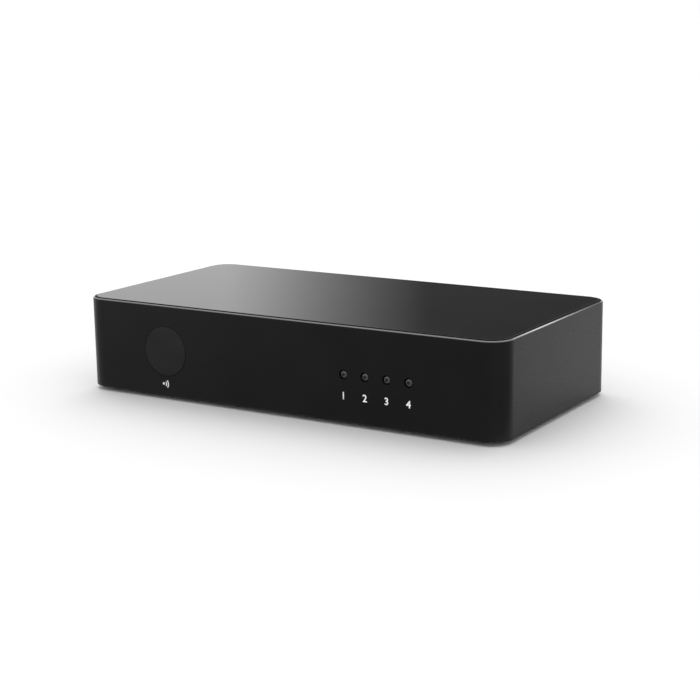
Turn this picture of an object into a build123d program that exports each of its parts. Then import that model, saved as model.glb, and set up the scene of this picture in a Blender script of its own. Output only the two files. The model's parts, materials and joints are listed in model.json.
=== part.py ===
from build123d import *

import os
from math import radians, tan

# A low audio controller box, drawn as its separate pieces, in millimetres.
# X runs to the right as seen from the front, Y to the back and Z up.
# The origin is on the table, under the middle of the whole footprint, line-out barrels included.
# An INSET is counted from the housing's outer side or end face, a SPACING from the neighbour
# named beside it, and an ABOVE_BOARD from the main board's upper face.

# Housing
BODY_WIDTH = 160.0
BODY_DEPTH = 80.0
RIM_HEIGHT = 30.85  # from the wall's lower edge to the top of its rim
CORNER_RADIUS = 7.3
WALL = 2.4
RIM_WIDTH = 1.1  # the rim that shows round the top plate, chamfer included
RIM_CHAMFER = 0.47
LEDGE_REACH = 3.5  # how far the ledge runs inwards from the rim
LEDGE_THICKNESS = 1.6
LEDGE_CORNER_CUT = 3.0

# Top plate and the tape that holds it
PLATE_THICKNESS = 2.0
PLATE_PROUD = 0.22
PLATE_GAP = 0.22
PLATE_BEVEL = 0.3
TAPE_THICKNESS = 0.15
TAPE_MARGIN = 0.4

# Rear corner posts and the screws that hold the bottom cover there
POST_REACH = 10.6  # from the housing's outer faces to the post's inner ones
POST_CUT = 3.0  # the cut across the post's inner edge
POST_INSET = 6.9  # from the housing's outer faces to the screw
POST_BITE = 0.5  # how far a post runs into the wall
COVER_SCREW_HEAD = 5.5
COVER_SCREW_SHANK = 2.9
COVER_SCREW_LENGTH = 10.0
SCREW_GAP = 0.1

# Bottom cover
COVER_THICKNESS = 2.0
COVER_GAP = 0.25
HOOK_INSET = 34.0
HOOK_WIDTH = 10.0
HOOK_THICKNESS = 1.0
HOOK_REACH = 1.05  # how far a hook stands out of the cover's front edge
HOOK_GAP = 0.15
STANDOFF_HEIGHT = 4.0
STANDOFF_WIDTH = 6.0
STANDOFF_SIDE_INSET = 12.5
STANDOFF_END_INSET = 18.0
VENT_WIDTH = 2.0
VENT_LENGTH = 16.0
VENT_PITCH = 6.0
VENT_ROW_COUNT = 7  # in each row
VENT_ROW_Y = 13.0  # from the housing's middle to the middle of each row

# Rubber feet
FOOT_STAND = 1.5
FOOT_LENGTH = 14.0
FOOT_WIDTH = 8.0
FOOT_CORNER_CUT = 2.0
FOOT_BEVEL = 0.5
FOOT_RECESS = 0.8
FOOT_RECESS_GAP = 0.15
FOOT_INSET = 18.0

# Main board
BOARD_THICKNESS = 1.6
BOARD_SIDE_GAP = 2.2
BOARD_REAR_GAP = 0.8
BOARD_POST_GAP = 0.6
BOARD_SCREW_SHANK = 2.2
BOARD_SCREW_HEAD = 4.6
BOARD_SCREW_HEAD_HEIGHT = 1.6
BOARD_SCREW_GRIP = 3.4  # how far the screw runs into its standoff
BOARD_HOLE_GAP = 0.3

# Front window and indicator lights, as heights above the wall's lower edge
WINDOW_INSET = 34.5
WINDOW_HEIGHT = 15.25
WINDOW_DIAMETER = 16.8
WINDOW_FACE_THICKNESS = 1.2
WINDOW_PROUD = 0.1
WINDOW_GAP = 0.15
WINDOW_APERTURE = 9.0  # the square hole behind the window
LIGHT_COUNT = 4
LAST_LIGHT_INSET = 31.85
LIGHT_PITCH = 7.8
LIGHT_HEIGHT = 15.25
LIGHT_HOLE = 3.1
PIPE_DIAMETER = 2.2
PIPE_RECESS = 0.45
PIPE_FLANGE_WIDTH = 4.4
PIPE_FLANGE_THICKNESS = 0.8
PIPE_SHANK = 2.2  # the square shank between the flange and the light
PIPE_GAP = 0.12
BAFFLE_MARGIN = 4.5
BAFFLE_HEIGHT = 9.0
LED_WIDTH = 2.0
LED_HEIGHT = 1.25
LED_DEPTH = 1.1
LED_POCKET_GAP = 0.6

# Front board, remote-control receiver and the header between the boards
FRONT_BOARD_SETBACK = 6.0
FRONT_BOARD_THICKNESS = 1.2
FRONT_BOARD_INSET = 18.0
FRONT_BOARD_HEIGHT = 15.0
RECEIVER_WIDTH = 6.0
RECEIVER_HEIGHT = 7.0
RECEIVER_DEPTH = 2.9
RECEIVER_LENS = 4.6
RECEIVER_LENS_REACH = 1.2
HEADER_PIN = 0.64
HEADER_PITCH = 2.54
HEADER_PIN_COUNT = 8
HEADER_BLOCK = 2.5
HEADER_SETBACK = 1.6

# Rear sockets, from the power socket on the right to the network socket on the left
SOCKET_GAP = 0.3
SOCKET_PROUD = 0.3  # how far the metal shells stand out of the rear wall
DC_INSET = 19.0
AUX_SPACING = 15.0  # from the power socket
LINE_SPACING = 15.0  # from the auxiliary socket
LINE_PITCH = 14.0
BUTTON_SPACING = 15.0  # from the left line-out barrel
USB_SPACING = 20.0  # from the button
LAN_SPACING = 26.0  # from the USB socket

DC_ABOVE_BOARD = 6.5
DC_WIDTH = 9.0
DC_HEIGHT = 11.0
DC_DEPTH = 14.2
DC_BORE = 5.8
DC_BORE_DEPTH = 9.5
DC_PIN = 2.0
DC_PIN_TIP_SETBACK = 0.8

AUX_ABOVE_BOARD = 4.6
AUX_WIDTH = 9.0
AUX_HEIGHT = 8.6
AUX_DEPTH = 12.0
AUX_NOSE = 6.8
AUX_BORE = 3.6
AUX_BORE_DEPTH = 13.0

LINE_ABOVE_BOARD = 8.4
LINE_BLOCK_MARGIN = 6.5
LINE_BLOCK_HEIGHT = 14.6
LINE_BLOCK_DEPTH = 10.0
LINE_NOSE_HEIGHT = 10.4  # the block's nose that fills its opening in the rear wall
LINE_BORE_DEPTH = 7.0  # how far a plug's pin runs on into the block
BARREL_REACH = 8.0
BARREL_DIAMETER = 8.3
BARREL_WALL = 0.4
BARREL_GAP = 0.05
INSERT_SETBACK = 0.5
INSERT_BORE = 3.3

USB_WIDTH = 13.2
USB_HEIGHT = 5.8
USB_DEPTH = 14.0
USB_SHEET = 0.35
USB_TONGUE_WIDTH = 11.1
USB_TONGUE_THICKNESS = 1.84
USB_TONGUE_DROP = 0.6
USB_TONGUE_SETBACK = 1.4
USB_ROOT_DEPTH = 4.0
USB_ROOT_GAP = 0.35
USB_CONTACT_COUNT = 4
USB_CONTACT_PITCH = 2.3
USB_CONTACT_WIDTH = 1.1
USB_CONTACT_THICKNESS = 0.2
USB_CONTACT_SETBACK = 0.7
USB_SPRING_WIDTH = 2.4
USB_SPRING_LENGTH = 5.5
USB_SPRING_SLOT = 0.5
USB_SPRING_SPREAD = 6.2
USB_SPRING_SETBACK = 2.0

LAN_WIDTH = 16.0
LAN_HEIGHT = 13.4
LAN_DEPTH = 15.6
LAN_SHEET = 0.3
LAN_PORT_WIDTH = 11.9
LAN_PORT_HEIGHT = 7.0
LAN_PORT_DEPTH = 12.4
LAN_PORT_FLOOR = 3.6
LAN_UPPER_STEP_WIDTH = 6.4
LAN_UPPER_STEP_HEIGHT = 1.6
LAN_LOWER_STEP_WIDTH = 3.6
LAN_LOWER_STEP_HEIGHT = 1.4
LAN_CONTACT_COUNT = 8
LAN_CONTACT_PITCH = 1.02
LAN_CONTACT_WIDTH = 0.45
LAN_CONTACT_THICKNESS = 0.3
LAN_CONTACT_FRONT = 2.0
LAN_CONTACT_BACK = 11.6
LAN_CONTACT_TIP = 8.4
LAN_CONTACT_NOSE = 1.2  # how far the wire's front drops from the port's ceiling
LAN_CONTACT_FALL = 2.2
LAN_LIGHT_WIDTH = 2.8
LAN_LIGHT_HEIGHT = 1.1
LAN_LIGHT_DEPTH = 3.0
LAN_LIGHT_MARGIN = 0.7

# Pairing button, the one moving piece, and its switch
BUTTON_ABOVE_BOARD = 4.2
BUTTON_DIAMETER = 3.0
BUTTON_TRAVEL = 0.5
BUTTON_PROUD = 1.2
BUTTON_BEVEL = 0.3
BUTTON_RUNNING_GAP = 0.05
COLLAR_WIDTH = 4.2
COLLAR_THICKNESS = 1.0
COLLAR_GAP = 0.3
SWITCH_WIDTH = 7.0
SWITCH_HEIGHT = 8.0
SWITCH_DEPTH = 5.0
SWITCH_FRONT = 1.0

# Network module on the main board, its can and the plugs of the antenna leads
MODULE_INSET = 36.0
MODULE_REAR_INSET = 49.0
MODULE_WIDTH = 34.0
MODULE_DEPTH = 24.0
MODULE_THICKNESS = 1.0
SHIELD_WIDTH = 20.0
SHIELD_DEPTH = 19.0
SHIELD_HEIGHT = 2.4
SHIELD_SHEET = 0.25
SHIELD_OFFSET = 4.5
PLUG_MARGIN = 3.0  # from the module's left edge to the middle of a plug
PLUG_SPREAD = 12.0
PLUG_WIDTH = 2.6
PLUG_HEIGHT = 1.3

# Other parts on the main board
CHIP_LEAD_PITCH = 2.0
CHIP_LEAD_WIDTH = 0.8
CHIP_LEAD_THICKNESS = 0.25
CHIP_LEAD_REACH = 1.0
CONTROL_CHIP_SPACING = 36.0  # from the network module
CONTROL_CHIP_REAR_INSET = 48.0
CONTROL_CHIP_WIDTH = 14.0
CONTROL_CHIP_DEPTH = 12.0
CONTROL_CHIP_HEIGHT = 1.5
CONTROL_CHIP_LEAD_COUNT = 5  # on each side
AUDIO_CHIP_REAR_INSET = 42.0
AUDIO_CHIP_WIDTH = 8.0
AUDIO_CHIP_DEPTH = 6.0
AUDIO_CHIP_HEIGHT = 1.6
AUDIO_CHIP_LEAD_COUNT = 3
TRANSFORMER_REAR_INSET = 28.0
TRANSFORMER_WIDTH = 13.0
TRANSFORMER_DEPTH = 9.0
TRANSFORMER_HEIGHT = 4.2
TRANSFORMER_LEAD_COUNT = 4
CRYSTAL_REAR_INSET = 36.0
CRYSTAL_WIDTH = 11.0
CRYSTAL_DEPTH = 4.6
CRYSTAL_HEIGHT = 3.5
CRYSTAL_CORNER_CUT = 1.4
SUPPLY_PITCH = 11.0  # between the two capacitors or chokes behind the power socket
SUPPLY_CAPACITOR_REAR_INSET = 34.0
SUPPLY_CAPACITOR_DIAMETER = 8.0
SUPPLY_CAPACITOR_HEIGHT = 11.5
INDUCTOR_REAR_INSET = 48.0
INDUCTOR_WIDTH = 8.0
INDUCTOR_HEIGHT = 4.0
INDUCTOR_CORNER_CUT = 1.3
OUTPUT_CAPACITOR_PITCH = 8.0
OUTPUT_CAPACITOR_REAR_INSET = 27.0
OUTPUT_CAPACITOR_WIDTH = 4.5
OUTPUT_CAPACITOR_DEPTH = 7.2
OUTPUT_CAPACITOR_HEIGHT = 9.0
CAPACITOR_BASE_HEIGHT = 0.8
CAPACITOR_BASE_MARGIN = 0.15
CAPACITOR_BASE_CUT = 1.7

# Antennas under the top plate and their leads
LEAD_DIAMETER = 1.1
LEAD_SIDE_COUNT = 6
BEND_SHARE = 0.25  # the share of the shorter run that a bend takes
ANTENNA_WIDTH = 9.0
ANTENNA_THICKNESS = 0.2
ANTENNA_PAD_WIDTH = 2.4
ANTENNA_PAD_DEPTH = 2.0
ANTENNA_PAD_HEIGHT = 1.3
WIFI_ANTENNA_INSET = 8.0
WIFI_ANTENNA_REAR_INSET = 7.0
WIFI_PAD_SPACING = 11.0  # from the lead's plug back to the pad
BLUETOOTH_PAD_INSET = 28.0
BLUETOOTH_ANTENNA_LENGTH = 38.0
BLUETOOTH_FRONT_INSET = 15.0
BLUETOOTH_LEAD_SWING = 7.0  # how far left of its plug the lead climbs

CUT_OVERRUN = 1.0

# Levels and faces that several pieces share
HOUSING_Y = -BARREL_REACH / 2
FRONT_FACE = HOUSING_Y - BODY_DEPTH / 2
FRONT_INNER = FRONT_FACE + WALL
REAR_FACE = HOUSING_Y + BODY_DEPTH / 2
REAR_INNER = REAR_FACE - WALL
SHELL_FACE = REAR_FACE + SOCKET_PROUD
WALL_BOTTOM = FOOT_STAND
RIM_TOP = WALL_BOTTOM + RIM_HEIGHT
PLATE_TOP = RIM_TOP + PLATE_PROUD
PLATE_BOTTOM = PLATE_TOP - PLATE_THICKNESS
LEDGE_TOP = PLATE_BOTTOM - TAPE_THICKNESS
LEDGE_BOTTOM = LEDGE_TOP - LEDGE_THICKNESS
COVER_TOP = WALL_BOTTOM + COVER_THICKNESS
BOARD_BOTTOM = COVER_TOP + STANDOFF_HEIGHT
BOARD_TOP = BOARD_BOTTOM + BOARD_THICKNESS
BOARD_REAR = REAR_INNER - BOARD_REAR_GAP
FRONT_BOARD_FACE = FRONT_INNER + FRONT_BOARD_SETBACK
FRONT_BOARD_BACK = FRONT_BOARD_FACE + FRONT_BOARD_THICKNESS

# Places that follow from the insets and spacings
WINDOW_X = -BODY_WIDTH / 2 + WINDOW_INSET
WINDOW_Z = WALL_BOTTOM + WINDOW_HEIGHT
LAST_LIGHT_X = BODY_WIDTH / 2 - LAST_LIGHT_INSET
LIGHT_XS = [LAST_LIGHT_X - LIGHT_PITCH * i for i in reversed(range(LIGHT_COUNT))]
LIGHT_Z = WALL_BOTTOM + LIGHT_HEIGHT
DC_X = BODY_WIDTH / 2 - DC_INSET
DC_Z = BOARD_TOP + DC_ABOVE_BOARD
AUX_X = DC_X - AUX_SPACING
AUX_Z = BOARD_TOP + AUX_ABOVE_BOARD
LINE_RIGHT_X = AUX_X - LINE_SPACING
LINE_LEFT_X = LINE_RIGHT_X - LINE_PITCH
LINE_MIDDLE_X = (LINE_LEFT_X + LINE_RIGHT_X) / 2
LINE_Z = BOARD_TOP + LINE_ABOVE_BOARD
BUTTON_X = LINE_LEFT_X - BUTTON_SPACING
BUTTON_Z = BOARD_TOP + BUTTON_ABOVE_BOARD
COLLAR_BACK = BOARD_REAR - SWITCH_FRONT
COLLAR_SPACE_FRONT = COLLAR_BACK - COLLAR_THICKNESS - BUTTON_TRAVEL - COLLAR_GAP
USB_X = BUTTON_X - USB_SPACING
USB_BOTTOM = BOARD_TOP
USB_TOP = USB_BOTTOM + USB_HEIGHT
USB_BACK = SHELL_FACE - USB_DEPTH
USB_ROOT_FRONT = USB_BACK + USB_SHEET + USB_ROOT_DEPTH
USB_TONGUE_TOP = USB_TOP - USB_SHEET - USB_TONGUE_DROP
USB_TONGUE_BOTTOM = USB_TONGUE_TOP - USB_TONGUE_THICKNESS
LAN_X = USB_X - LAN_SPACING
LAN_BOTTOM = BOARD_TOP
LAN_TOP = LAN_BOTTOM + LAN_HEIGHT
LAN_BACK = SHELL_FACE - LAN_DEPTH
LAN_FLOOR_Z = LAN_BOTTOM + LAN_PORT_FLOOR
LAN_CEILING_Z = LAN_FLOOR_Z + LAN_PORT_HEIGHT
MODULE_X = -BODY_WIDTH / 2 + MODULE_INSET
MODULE_Y = REAR_FACE - MODULE_REAR_INSET
MODULE_TOP = BOARD_TOP + MODULE_THICKNESS
PLUG_X = MODULE_X - MODULE_WIDTH / 2 + PLUG_MARGIN
PLUG_Z = MODULE_TOP + PLUG_HEIGHT / 2
WIFI_PLUG_Y = MODULE_Y + PLUG_SPREAD / 2
BLUETOOTH_PLUG_Y = MODULE_Y - PLUG_SPREAD / 2
CONTROL_CHIP_X = MODULE_X + CONTROL_CHIP_SPACING
PAD_Z = PLATE_BOTTOM - ANTENNA_THICKNESS - ANTENNA_PAD_HEIGHT / 2
WIFI_ANTENNA_X = -BODY_WIDTH / 2 + WIFI_ANTENNA_INSET + ANTENNA_WIDTH / 2
WIFI_PAD_Y = WIFI_PLUG_Y + WIFI_PAD_SPACING
BLUETOOTH_PAD_X = -BODY_WIDTH / 2 + BLUETOOTH_PAD_INSET
BLUETOOTH_Y = FRONT_FACE + BLUETOOTH_FRONT_INSET


# Helpers for forms that many pieces share


def inset_slab(inset, low, high):
    """A slab that lies the same distance inside the housing's outline all round."""
    size = (BODY_WIDTH - 2 * inset, BODY_DEPTH - 2 * inset)
    outline = RectangleRounded(*size, CORNER_RADIUS - inset)
    return Pos(0, HOUSING_Y, low) * extrude(outline, high - low)


def block(x_span, y_span, z_span):
    """A block between two limits along each axis."""
    spans = (x_span, y_span, z_span)
    middle = [(low + high) / 2 for low, high in spans]
    size = [high - low for low, high in spans]
    return Pos(*middle) * Box(*size)


def standing(width, depth, height):
    """A block that stands on the middle of its own base."""
    return Box(width, depth, height, align=(Align.CENTER, Align.CENTER, Align.MIN))


def around(centre, width):
    """The two limits of a width about its centre."""
    return (centre - width / 2, centre + width / 2)


def square_bar(width, x, z, y_low, y_high):
    return block(around(x, width), (y_low, y_high), around(z, width))


def rod_along_y(diameter, x, z, y_low, y_high):
    back = Plane(origin=(0, y_high, 0), x_dir=(1, 0, 0), z_dir=(0, -1, 0))
    outline = Pos(x, z) * Circle(diameter / 2)
    return extrude(back * outline, y_high - y_low)


def rod_along_z(diameter, x, y, low, high):
    return Pos(x, y, low) * extrude(Circle(diameter / 2), high - low)


def side_view_bar(points, x, width):
    """A bar of one width about X whose side view, in Y and Z, is a closed outline."""
    outline = make_face(Plane.YZ * Polyline(*points, close=True))
    return Pos(x - width / 2, 0, 0) * extrude(outline, width)


def turned(profile):
    """A closed outline of radius and height, turned a full round about Z."""
    outline = make_face(Plane.XZ * Polyline(*profile, close=True))
    return revolve(outline, Axis.Z)


def cut_corners(width, depth, cut, height):
    """A block with its four upright edges cut off, standing on its base."""
    return extrude(chamfer(Rectangle(width, depth).vertices(), cut), height)


def row(middle, pitch, count):
    """Evenly spaced places about a middle."""
    first = middle - pitch * (count - 1) / 2
    return [first + pitch * i for i in range(count)]


def four_corners(side_inset, end_inset):
    """The same place in each quarter of the housing, as X and Y."""
    x = BODY_WIDTH / 2 - side_inset
    y = BODY_DEPTH / 2 - end_inset
    return [(side * x, HOUSING_Y + end * y) for side in (-1, 1) for end in (-1, 1)]


def rear_corners(side_inset, end_inset):
    return [(x, y) for x, y in four_corners(side_inset, end_inset) if y > HOUSING_Y]


# Housing


def post_places():
    return rear_corners(POST_INSET, POST_INSET)


def corner_squares(reach, low, high):
    """A square in each rear corner of the housing, reaching in from its outer faces."""
    square = cut_corners(2 * reach, 2 * reach, POST_CUT, high - low)
    return [Pos(x, y, low) * square for x, y in rear_corners(0, 0)]


def corner_posts():
    """A post that fills each rear corner inside, from the bottom cover up to the ledge."""
    inside = inset_slab(WALL - POST_BITE, COVER_TOP, LEDGE_BOTTOM)
    return [square & inside for square in corner_squares(POST_REACH, COVER_TOP, LEDGE_BOTTOM)]


def hook_blocks(gap):
    """The space of the cover's two front hooks, with a gap all round where the wall takes them."""
    edge = FRONT_INNER + COVER_GAP
    depths = (edge - HOOK_REACH - gap, edge + CUT_OVERRUN)
    heights = (COVER_TOP - HOOK_THICKNESS - gap, COVER_TOP + gap)
    places = (HOOK_INSET - BODY_WIDTH / 2, BODY_WIDTH / 2 - HOOK_INSET)
    return [block(around(x, HOOK_WIDTH + 2 * gap), depths, heights) for x in places]


def post_holes():
    hole = COVER_SCREW_SHANK + 2 * SCREW_GAP
    depth = WALL_BOTTOM + COVER_SCREW_LENGTH + CUT_OVERRUN
    return [rod_along_z(hole, x, y, WALL_BOTTOM, depth) for x, y in post_places()]


def front_bores():
    """The window's round seat with the square hole behind it, and the holes of the lights."""
    outside = FRONT_FACE - CUT_OVERRUN
    seat = FRONT_FACE + WINDOW_FACE_THICKNESS - WINDOW_PROUD
    through = FRONT_INNER + CUT_OVERRUN
    bores = [
        rod_along_y(WINDOW_DIAMETER + 2 * WINDOW_GAP, WINDOW_X, WINDOW_Z, outside, seat),
        square_bar(WINDOW_APERTURE, WINDOW_X, WINDOW_Z, outside, through),
    ]
    return bores + [rod_along_y(LIGHT_HOLE, x, LIGHT_Z, outside, through) for x in LIGHT_XS]


def rear_cutouts():
    """One opening in the rear wall for each socket and for the button."""
    depths = (REAR_INNER - CUT_OVERRUN, REAR_FACE + CUT_OVERRUN)
    round_fronts = [(AUX_NOSE, AUX_X, AUX_Z), (BUTTON_DIAMETER, BUTTON_X, BUTTON_Z)]
    square_fronts = [
        (DC_X, DC_WIDTH, BOARD_TOP, BOARD_TOP + DC_HEIGHT),
        (LINE_MIDDLE_X, LINE_PITCH + LINE_NOSE_HEIGHT, *around(LINE_Z, LINE_NOSE_HEIGHT)),
        (USB_X, USB_WIDTH, USB_BOTTOM, USB_TOP),
        (LAN_X, LAN_WIDTH, LAN_BOTTOM, LAN_TOP),
    ]
    cuts = [rod_along_y(size + 2 * SOCKET_GAP, x, z, *depths) for size, x, z in round_fronts]
    for x, width, low, high in square_fronts:
        sides = around(x, width + 2 * SOCKET_GAP)
        cuts.append(block(sides, depths, (low - SOCKET_GAP, high + SOCKET_GAP)))
    return cuts


def wall_ring():
    """The one-piece wall with its bright rim, the ledge under the plate and the rear posts."""
    ring = inset_slab(0, WALL_BOTTOM, RIM_TOP)
    ring = chamfer(ring.edges().group_by(Axis.Z)[-1], RIM_CHAMFER)
    ring -= inset_slab(RIM_WIDTH, LEDGE_TOP, RIM_TOP + CUT_OVERRUN)
    ring -= inset_slab(WALL, WALL_BOTTOM - CUT_OVERRUN, LEDGE_BOTTOM)
    both_sides = 2 * (RIM_WIDTH + LEDGE_REACH)
    opening = cut_corners(
        BODY_WIDTH - both_sides, BODY_DEPTH - both_sides, LEDGE_CORNER_CUT, 2 * LEDGE_THICKNESS
    )
    ring -= Pos(0, HOUSING_Y, LEDGE_BOTTOM) * opening
    ring += corner_posts()
    return ring - post_holes() - hook_blocks(HOOK_GAP) - front_bores() - rear_cutouts()


def top_plate():
    plate = inset_slab(RIM_WIDTH + PLATE_GAP, PLATE_BOTTOM, PLATE_TOP)
    return chamfer(plate.edges().group_by(Axis.Z)[-1], PLATE_BEVEL)


def plate_tape():
    """Four strips of adhesive on the ledge's straight sides, kept back from its edges."""
    heights = (LEDGE_TOP, PLATE_BOTTOM)
    outer = RIM_WIDTH + PLATE_GAP + TAPE_MARGIN
    inner = RIM_WIDTH + LEDGE_REACH - TAPE_MARGIN
    middle = (outer + inner) / 2
    along_x = (CORNER_RADIUS - BODY_WIDTH / 2, BODY_WIDTH / 2 - CORNER_RADIUS)
    along_y = (FRONT_FACE + CORNER_RADIUS, REAR_FACE - CORNER_RADIUS)
    strips = []
    for y in (FRONT_FACE + middle, REAR_FACE - middle):
        strips.append(block(along_x, around(y, inner - outer), heights))
    for x in (middle - BODY_WIDTH / 2, BODY_WIDTH / 2 - middle):
        strips.append(block(around(x, inner - outer), along_y, heights))
    return strips


def countersunk(extra, length):
    """A countersunk screw's outline, or with some extra radius the hole that it sits in."""
    head = COVER_SCREW_HEAD / 2 + extra
    shank = COVER_SCREW_SHANK / 2 + extra
    return turned([(0, 0), (head, 0), (shank, head - shank), (shank, length), (0, length)])


def cover_screws():
    screw = countersunk(0, COVER_SCREW_LENGTH)
    return [Pos(x, y, WALL_BOTTOM) * screw for x, y in post_places()]


def standoff_places():
    return four_corners(STANDOFF_SIDE_INSET, STANDOFF_END_INSET)


def board_screw_places():
    """Two standoffs that face each other across the board."""
    places = standoff_places()
    return [places[0], places[-1]]


def foot_places():
    return four_corners(FOOT_INSET, FOOT_INSET)


def vents():
    """Two rows of slots under the main board."""
    low = WALL_BOTTOM - CUT_OVERRUN
    cut = standing(VENT_WIDTH, VENT_LENGTH, COVER_THICKNESS + 2 * CUT_OVERRUN)
    return [
        Pos(x, HOUSING_Y + y, low) * cut
        for x in row(0, VENT_PITCH, VENT_ROW_COUNT)
        for y in (-VENT_ROW_Y, VENT_ROW_Y)
    ]


def bottom_cover():
    """The moulded floor with its hooks, standoffs, vents, screw seats and recesses for the feet."""
    cover = inset_slab(WALL + COVER_GAP, WALL_BOTTOM, COVER_TOP)
    cover += hook_blocks(0)
    standoff = standing(STANDOFF_WIDTH, STANDOFF_WIDTH, STANDOFF_HEIGHT)
    cover += [Pos(x, y, COVER_TOP) * standoff for x, y in standoff_places()]
    hole = BOARD_SCREW_SHANK + 2 * SCREW_GAP
    cover -= [rod_along_z(hole, x, y, COVER_TOP, BOARD_BOTTOM) for x, y in board_screw_places()]
    recess = cut_corners(
        FOOT_LENGTH + 2 * FOOT_RECESS_GAP,
        FOOT_WIDTH + 2 * FOOT_RECESS_GAP,
        FOOT_CORNER_CUT,
        FOOT_RECESS + CUT_OVERRUN,
    )
    cover -= [Pos(x, y, WALL_BOTTOM - CUT_OVERRUN) * recess for x, y in foot_places()]
    seat = countersunk(SCREW_GAP, COVER_THICKNESS + CUT_OVERRUN)
    cover -= [Pos(x, y, WALL_BOTTOM) * seat for x, y in post_places()]
    return cover - vents()


def foot():
    """A rubber pad with cut corners and a bevelled lower edge, from the table up."""
    pad = cut_corners(FOOT_LENGTH, FOOT_WIDTH, FOOT_CORNER_CUT, FOOT_STAND + FOOT_RECESS)
    return chamfer(pad.edges().group_by(Axis.Z)[0], FOOT_BEVEL)


# Main board and what stands on it


def main_board():
    """The board on its standoffs, notched round the rear posts."""
    sides = around(0, BODY_WIDTH - 2 * (WALL + BOARD_SIDE_GAP))
    board = block(sides, (FRONT_BOARD_FACE, BOARD_REAR), (BOARD_BOTTOM, BOARD_TOP))
    low = BOARD_BOTTOM - CUT_OVERRUN
    high = BOARD_TOP + CUT_OVERRUN
    board -= corner_squares(POST_REACH + BOARD_POST_GAP, low, high)
    hole = BOARD_SCREW_SHANK + 2 * BOARD_HOLE_GAP
    return board - [rod_along_z(hole, x, y, low, high) for x, y in board_screw_places()]


def board_screws():
    """Hexagon-headed screws through the board into their standoffs."""
    head = extrude(RegularPolygon(BOARD_SCREW_HEAD / 2, 6), BOARD_SCREW_HEAD_HEIGHT)
    tip = -(BOARD_THICKNESS + BOARD_SCREW_GRIP)
    screw = head + rod_along_z(BOARD_SCREW_SHANK, 0, 0, tip, 0)
    return [Pos(x, y, BOARD_TOP) * screw for x, y in board_screw_places()]


def chip_lead(x, depth, height):
    """One lead that runs down the chip's far side and out along the board."""
    thick = CHIP_LEAD_THICKNESS
    middle = height / 2
    root = depth / 2 - thick
    bend = depth / 2 + thick
    foot_end = depth / 2 + CHIP_LEAD_REACH
    side_view = [(root, 0), (foot_end, 0), (foot_end, thick), (bend, thick), (bend, middle), (root, middle)]
    return side_view_bar(side_view, x, CHIP_LEAD_WIDTH)


def leaded_chip(width, depth, height, leads_a_side):
    """A flat chip with leads along its two long sides."""
    lift = CHIP_LEAD_THICKNESS / 2
    leads = [chip_lead(x, depth, height) for x in row(0, CHIP_LEAD_PITCH, leads_a_side)]
    body = Pos(0, 0, lift) * standing(width, depth, height - lift)
    body += leads
    return body + [Rot(0, 0, 180) * piece for piece in leads]


def on_board(x, rear_inset, piece):
    """A piece set down on the main board, a distance in front of the housing's rear face."""
    return Pos(x, REAR_FACE - rear_inset, BOARD_TOP) * piece


def supply_capacitors():
    """Two round cans, each on a square base with its front corners cut."""
    width = SUPPLY_CAPACITOR_DIAMETER + 2 * CAPACITOR_BASE_MARGIN
    base = standing(width, width, CAPACITOR_BASE_HEIGHT)
    front_edges = base.edges().filter_by(Axis.Z).group_by(Axis.Y)[0]
    can = chamfer(front_edges, CAPACITOR_BASE_CUT)
    can += rod_along_z(SUPPLY_CAPACITOR_DIAMETER, 0, 0, CAPACITOR_BASE_HEIGHT, SUPPLY_CAPACITOR_HEIGHT)
    return [on_board(x, SUPPLY_CAPACITOR_REAR_INSET, can) for x in (DC_X - SUPPLY_PITCH, DC_X)]


def output_capacitors():
    """Two film capacitors in moulded boxes, one for each line output."""
    film = standing(OUTPUT_CAPACITOR_WIDTH, OUTPUT_CAPACITOR_DEPTH, OUTPUT_CAPACITOR_HEIGHT)
    places = row(LINE_MIDDLE_X, OUTPUT_CAPACITOR_PITCH, 2)
    return [on_board(x, OUTPUT_CAPACITOR_REAR_INSET, film) for x in places]


def power_inductors():
    choke = cut_corners(INDUCTOR_WIDTH, INDUCTOR_WIDTH, INDUCTOR_CORNER_CUT, INDUCTOR_HEIGHT)
    return [on_board(x, INDUCTOR_REAR_INSET, choke) for x in (DC_X - SUPPLY_PITCH, DC_X)]


def network_module():
    card = standing(MODULE_WIDTH, MODULE_DEPTH, MODULE_THICKNESS)
    return on_board(MODULE_X, MODULE_REAR_INSET, card)


def module_shield():
    """A sheet can over the module's chips, open at its underside."""
    can = standing(SHIELD_WIDTH, SHIELD_DEPTH, SHIELD_HEIGHT)
    both_walls = 2 * SHIELD_SHEET
    can -= standing(SHIELD_WIDTH - both_walls, SHIELD_DEPTH - both_walls, SHIELD_HEIGHT - SHIELD_SHEET)
    return on_board(MODULE_X + SHIELD_OFFSET, MODULE_REAR_INSET, Pos(0, 0, MODULE_THICKNESS) * can)


def control_chip():
    size = (CONTROL_CHIP_WIDTH, CONTROL_CHIP_DEPTH, CONTROL_CHIP_HEIGHT)
    return on_board(CONTROL_CHIP_X, CONTROL_CHIP_REAR_INSET, leaded_chip(*size, CONTROL_CHIP_LEAD_COUNT))


def audio_chip():
    size = (AUDIO_CHIP_WIDTH, AUDIO_CHIP_DEPTH, AUDIO_CHIP_HEIGHT)
    return on_board(LINE_MIDDLE_X, AUDIO_CHIP_REAR_INSET, leaded_chip(*size, AUDIO_CHIP_LEAD_COUNT))


def lan_transformer():
    size = (TRANSFORMER_WIDTH, TRANSFORMER_DEPTH, TRANSFORMER_HEIGHT)
    return on_board(LAN_X, TRANSFORMER_REAR_INSET, leaded_chip(*size, TRANSFORMER_LEAD_COUNT))


def crystal_can():
    can = cut_corners(CRYSTAL_WIDTH, CRYSTAL_DEPTH, CRYSTAL_CORNER_CUT, CRYSTAL_HEIGHT)
    return on_board(CONTROL_CHIP_X, CRYSTAL_REAR_INSET, can)


# Antennas and their leads


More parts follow.
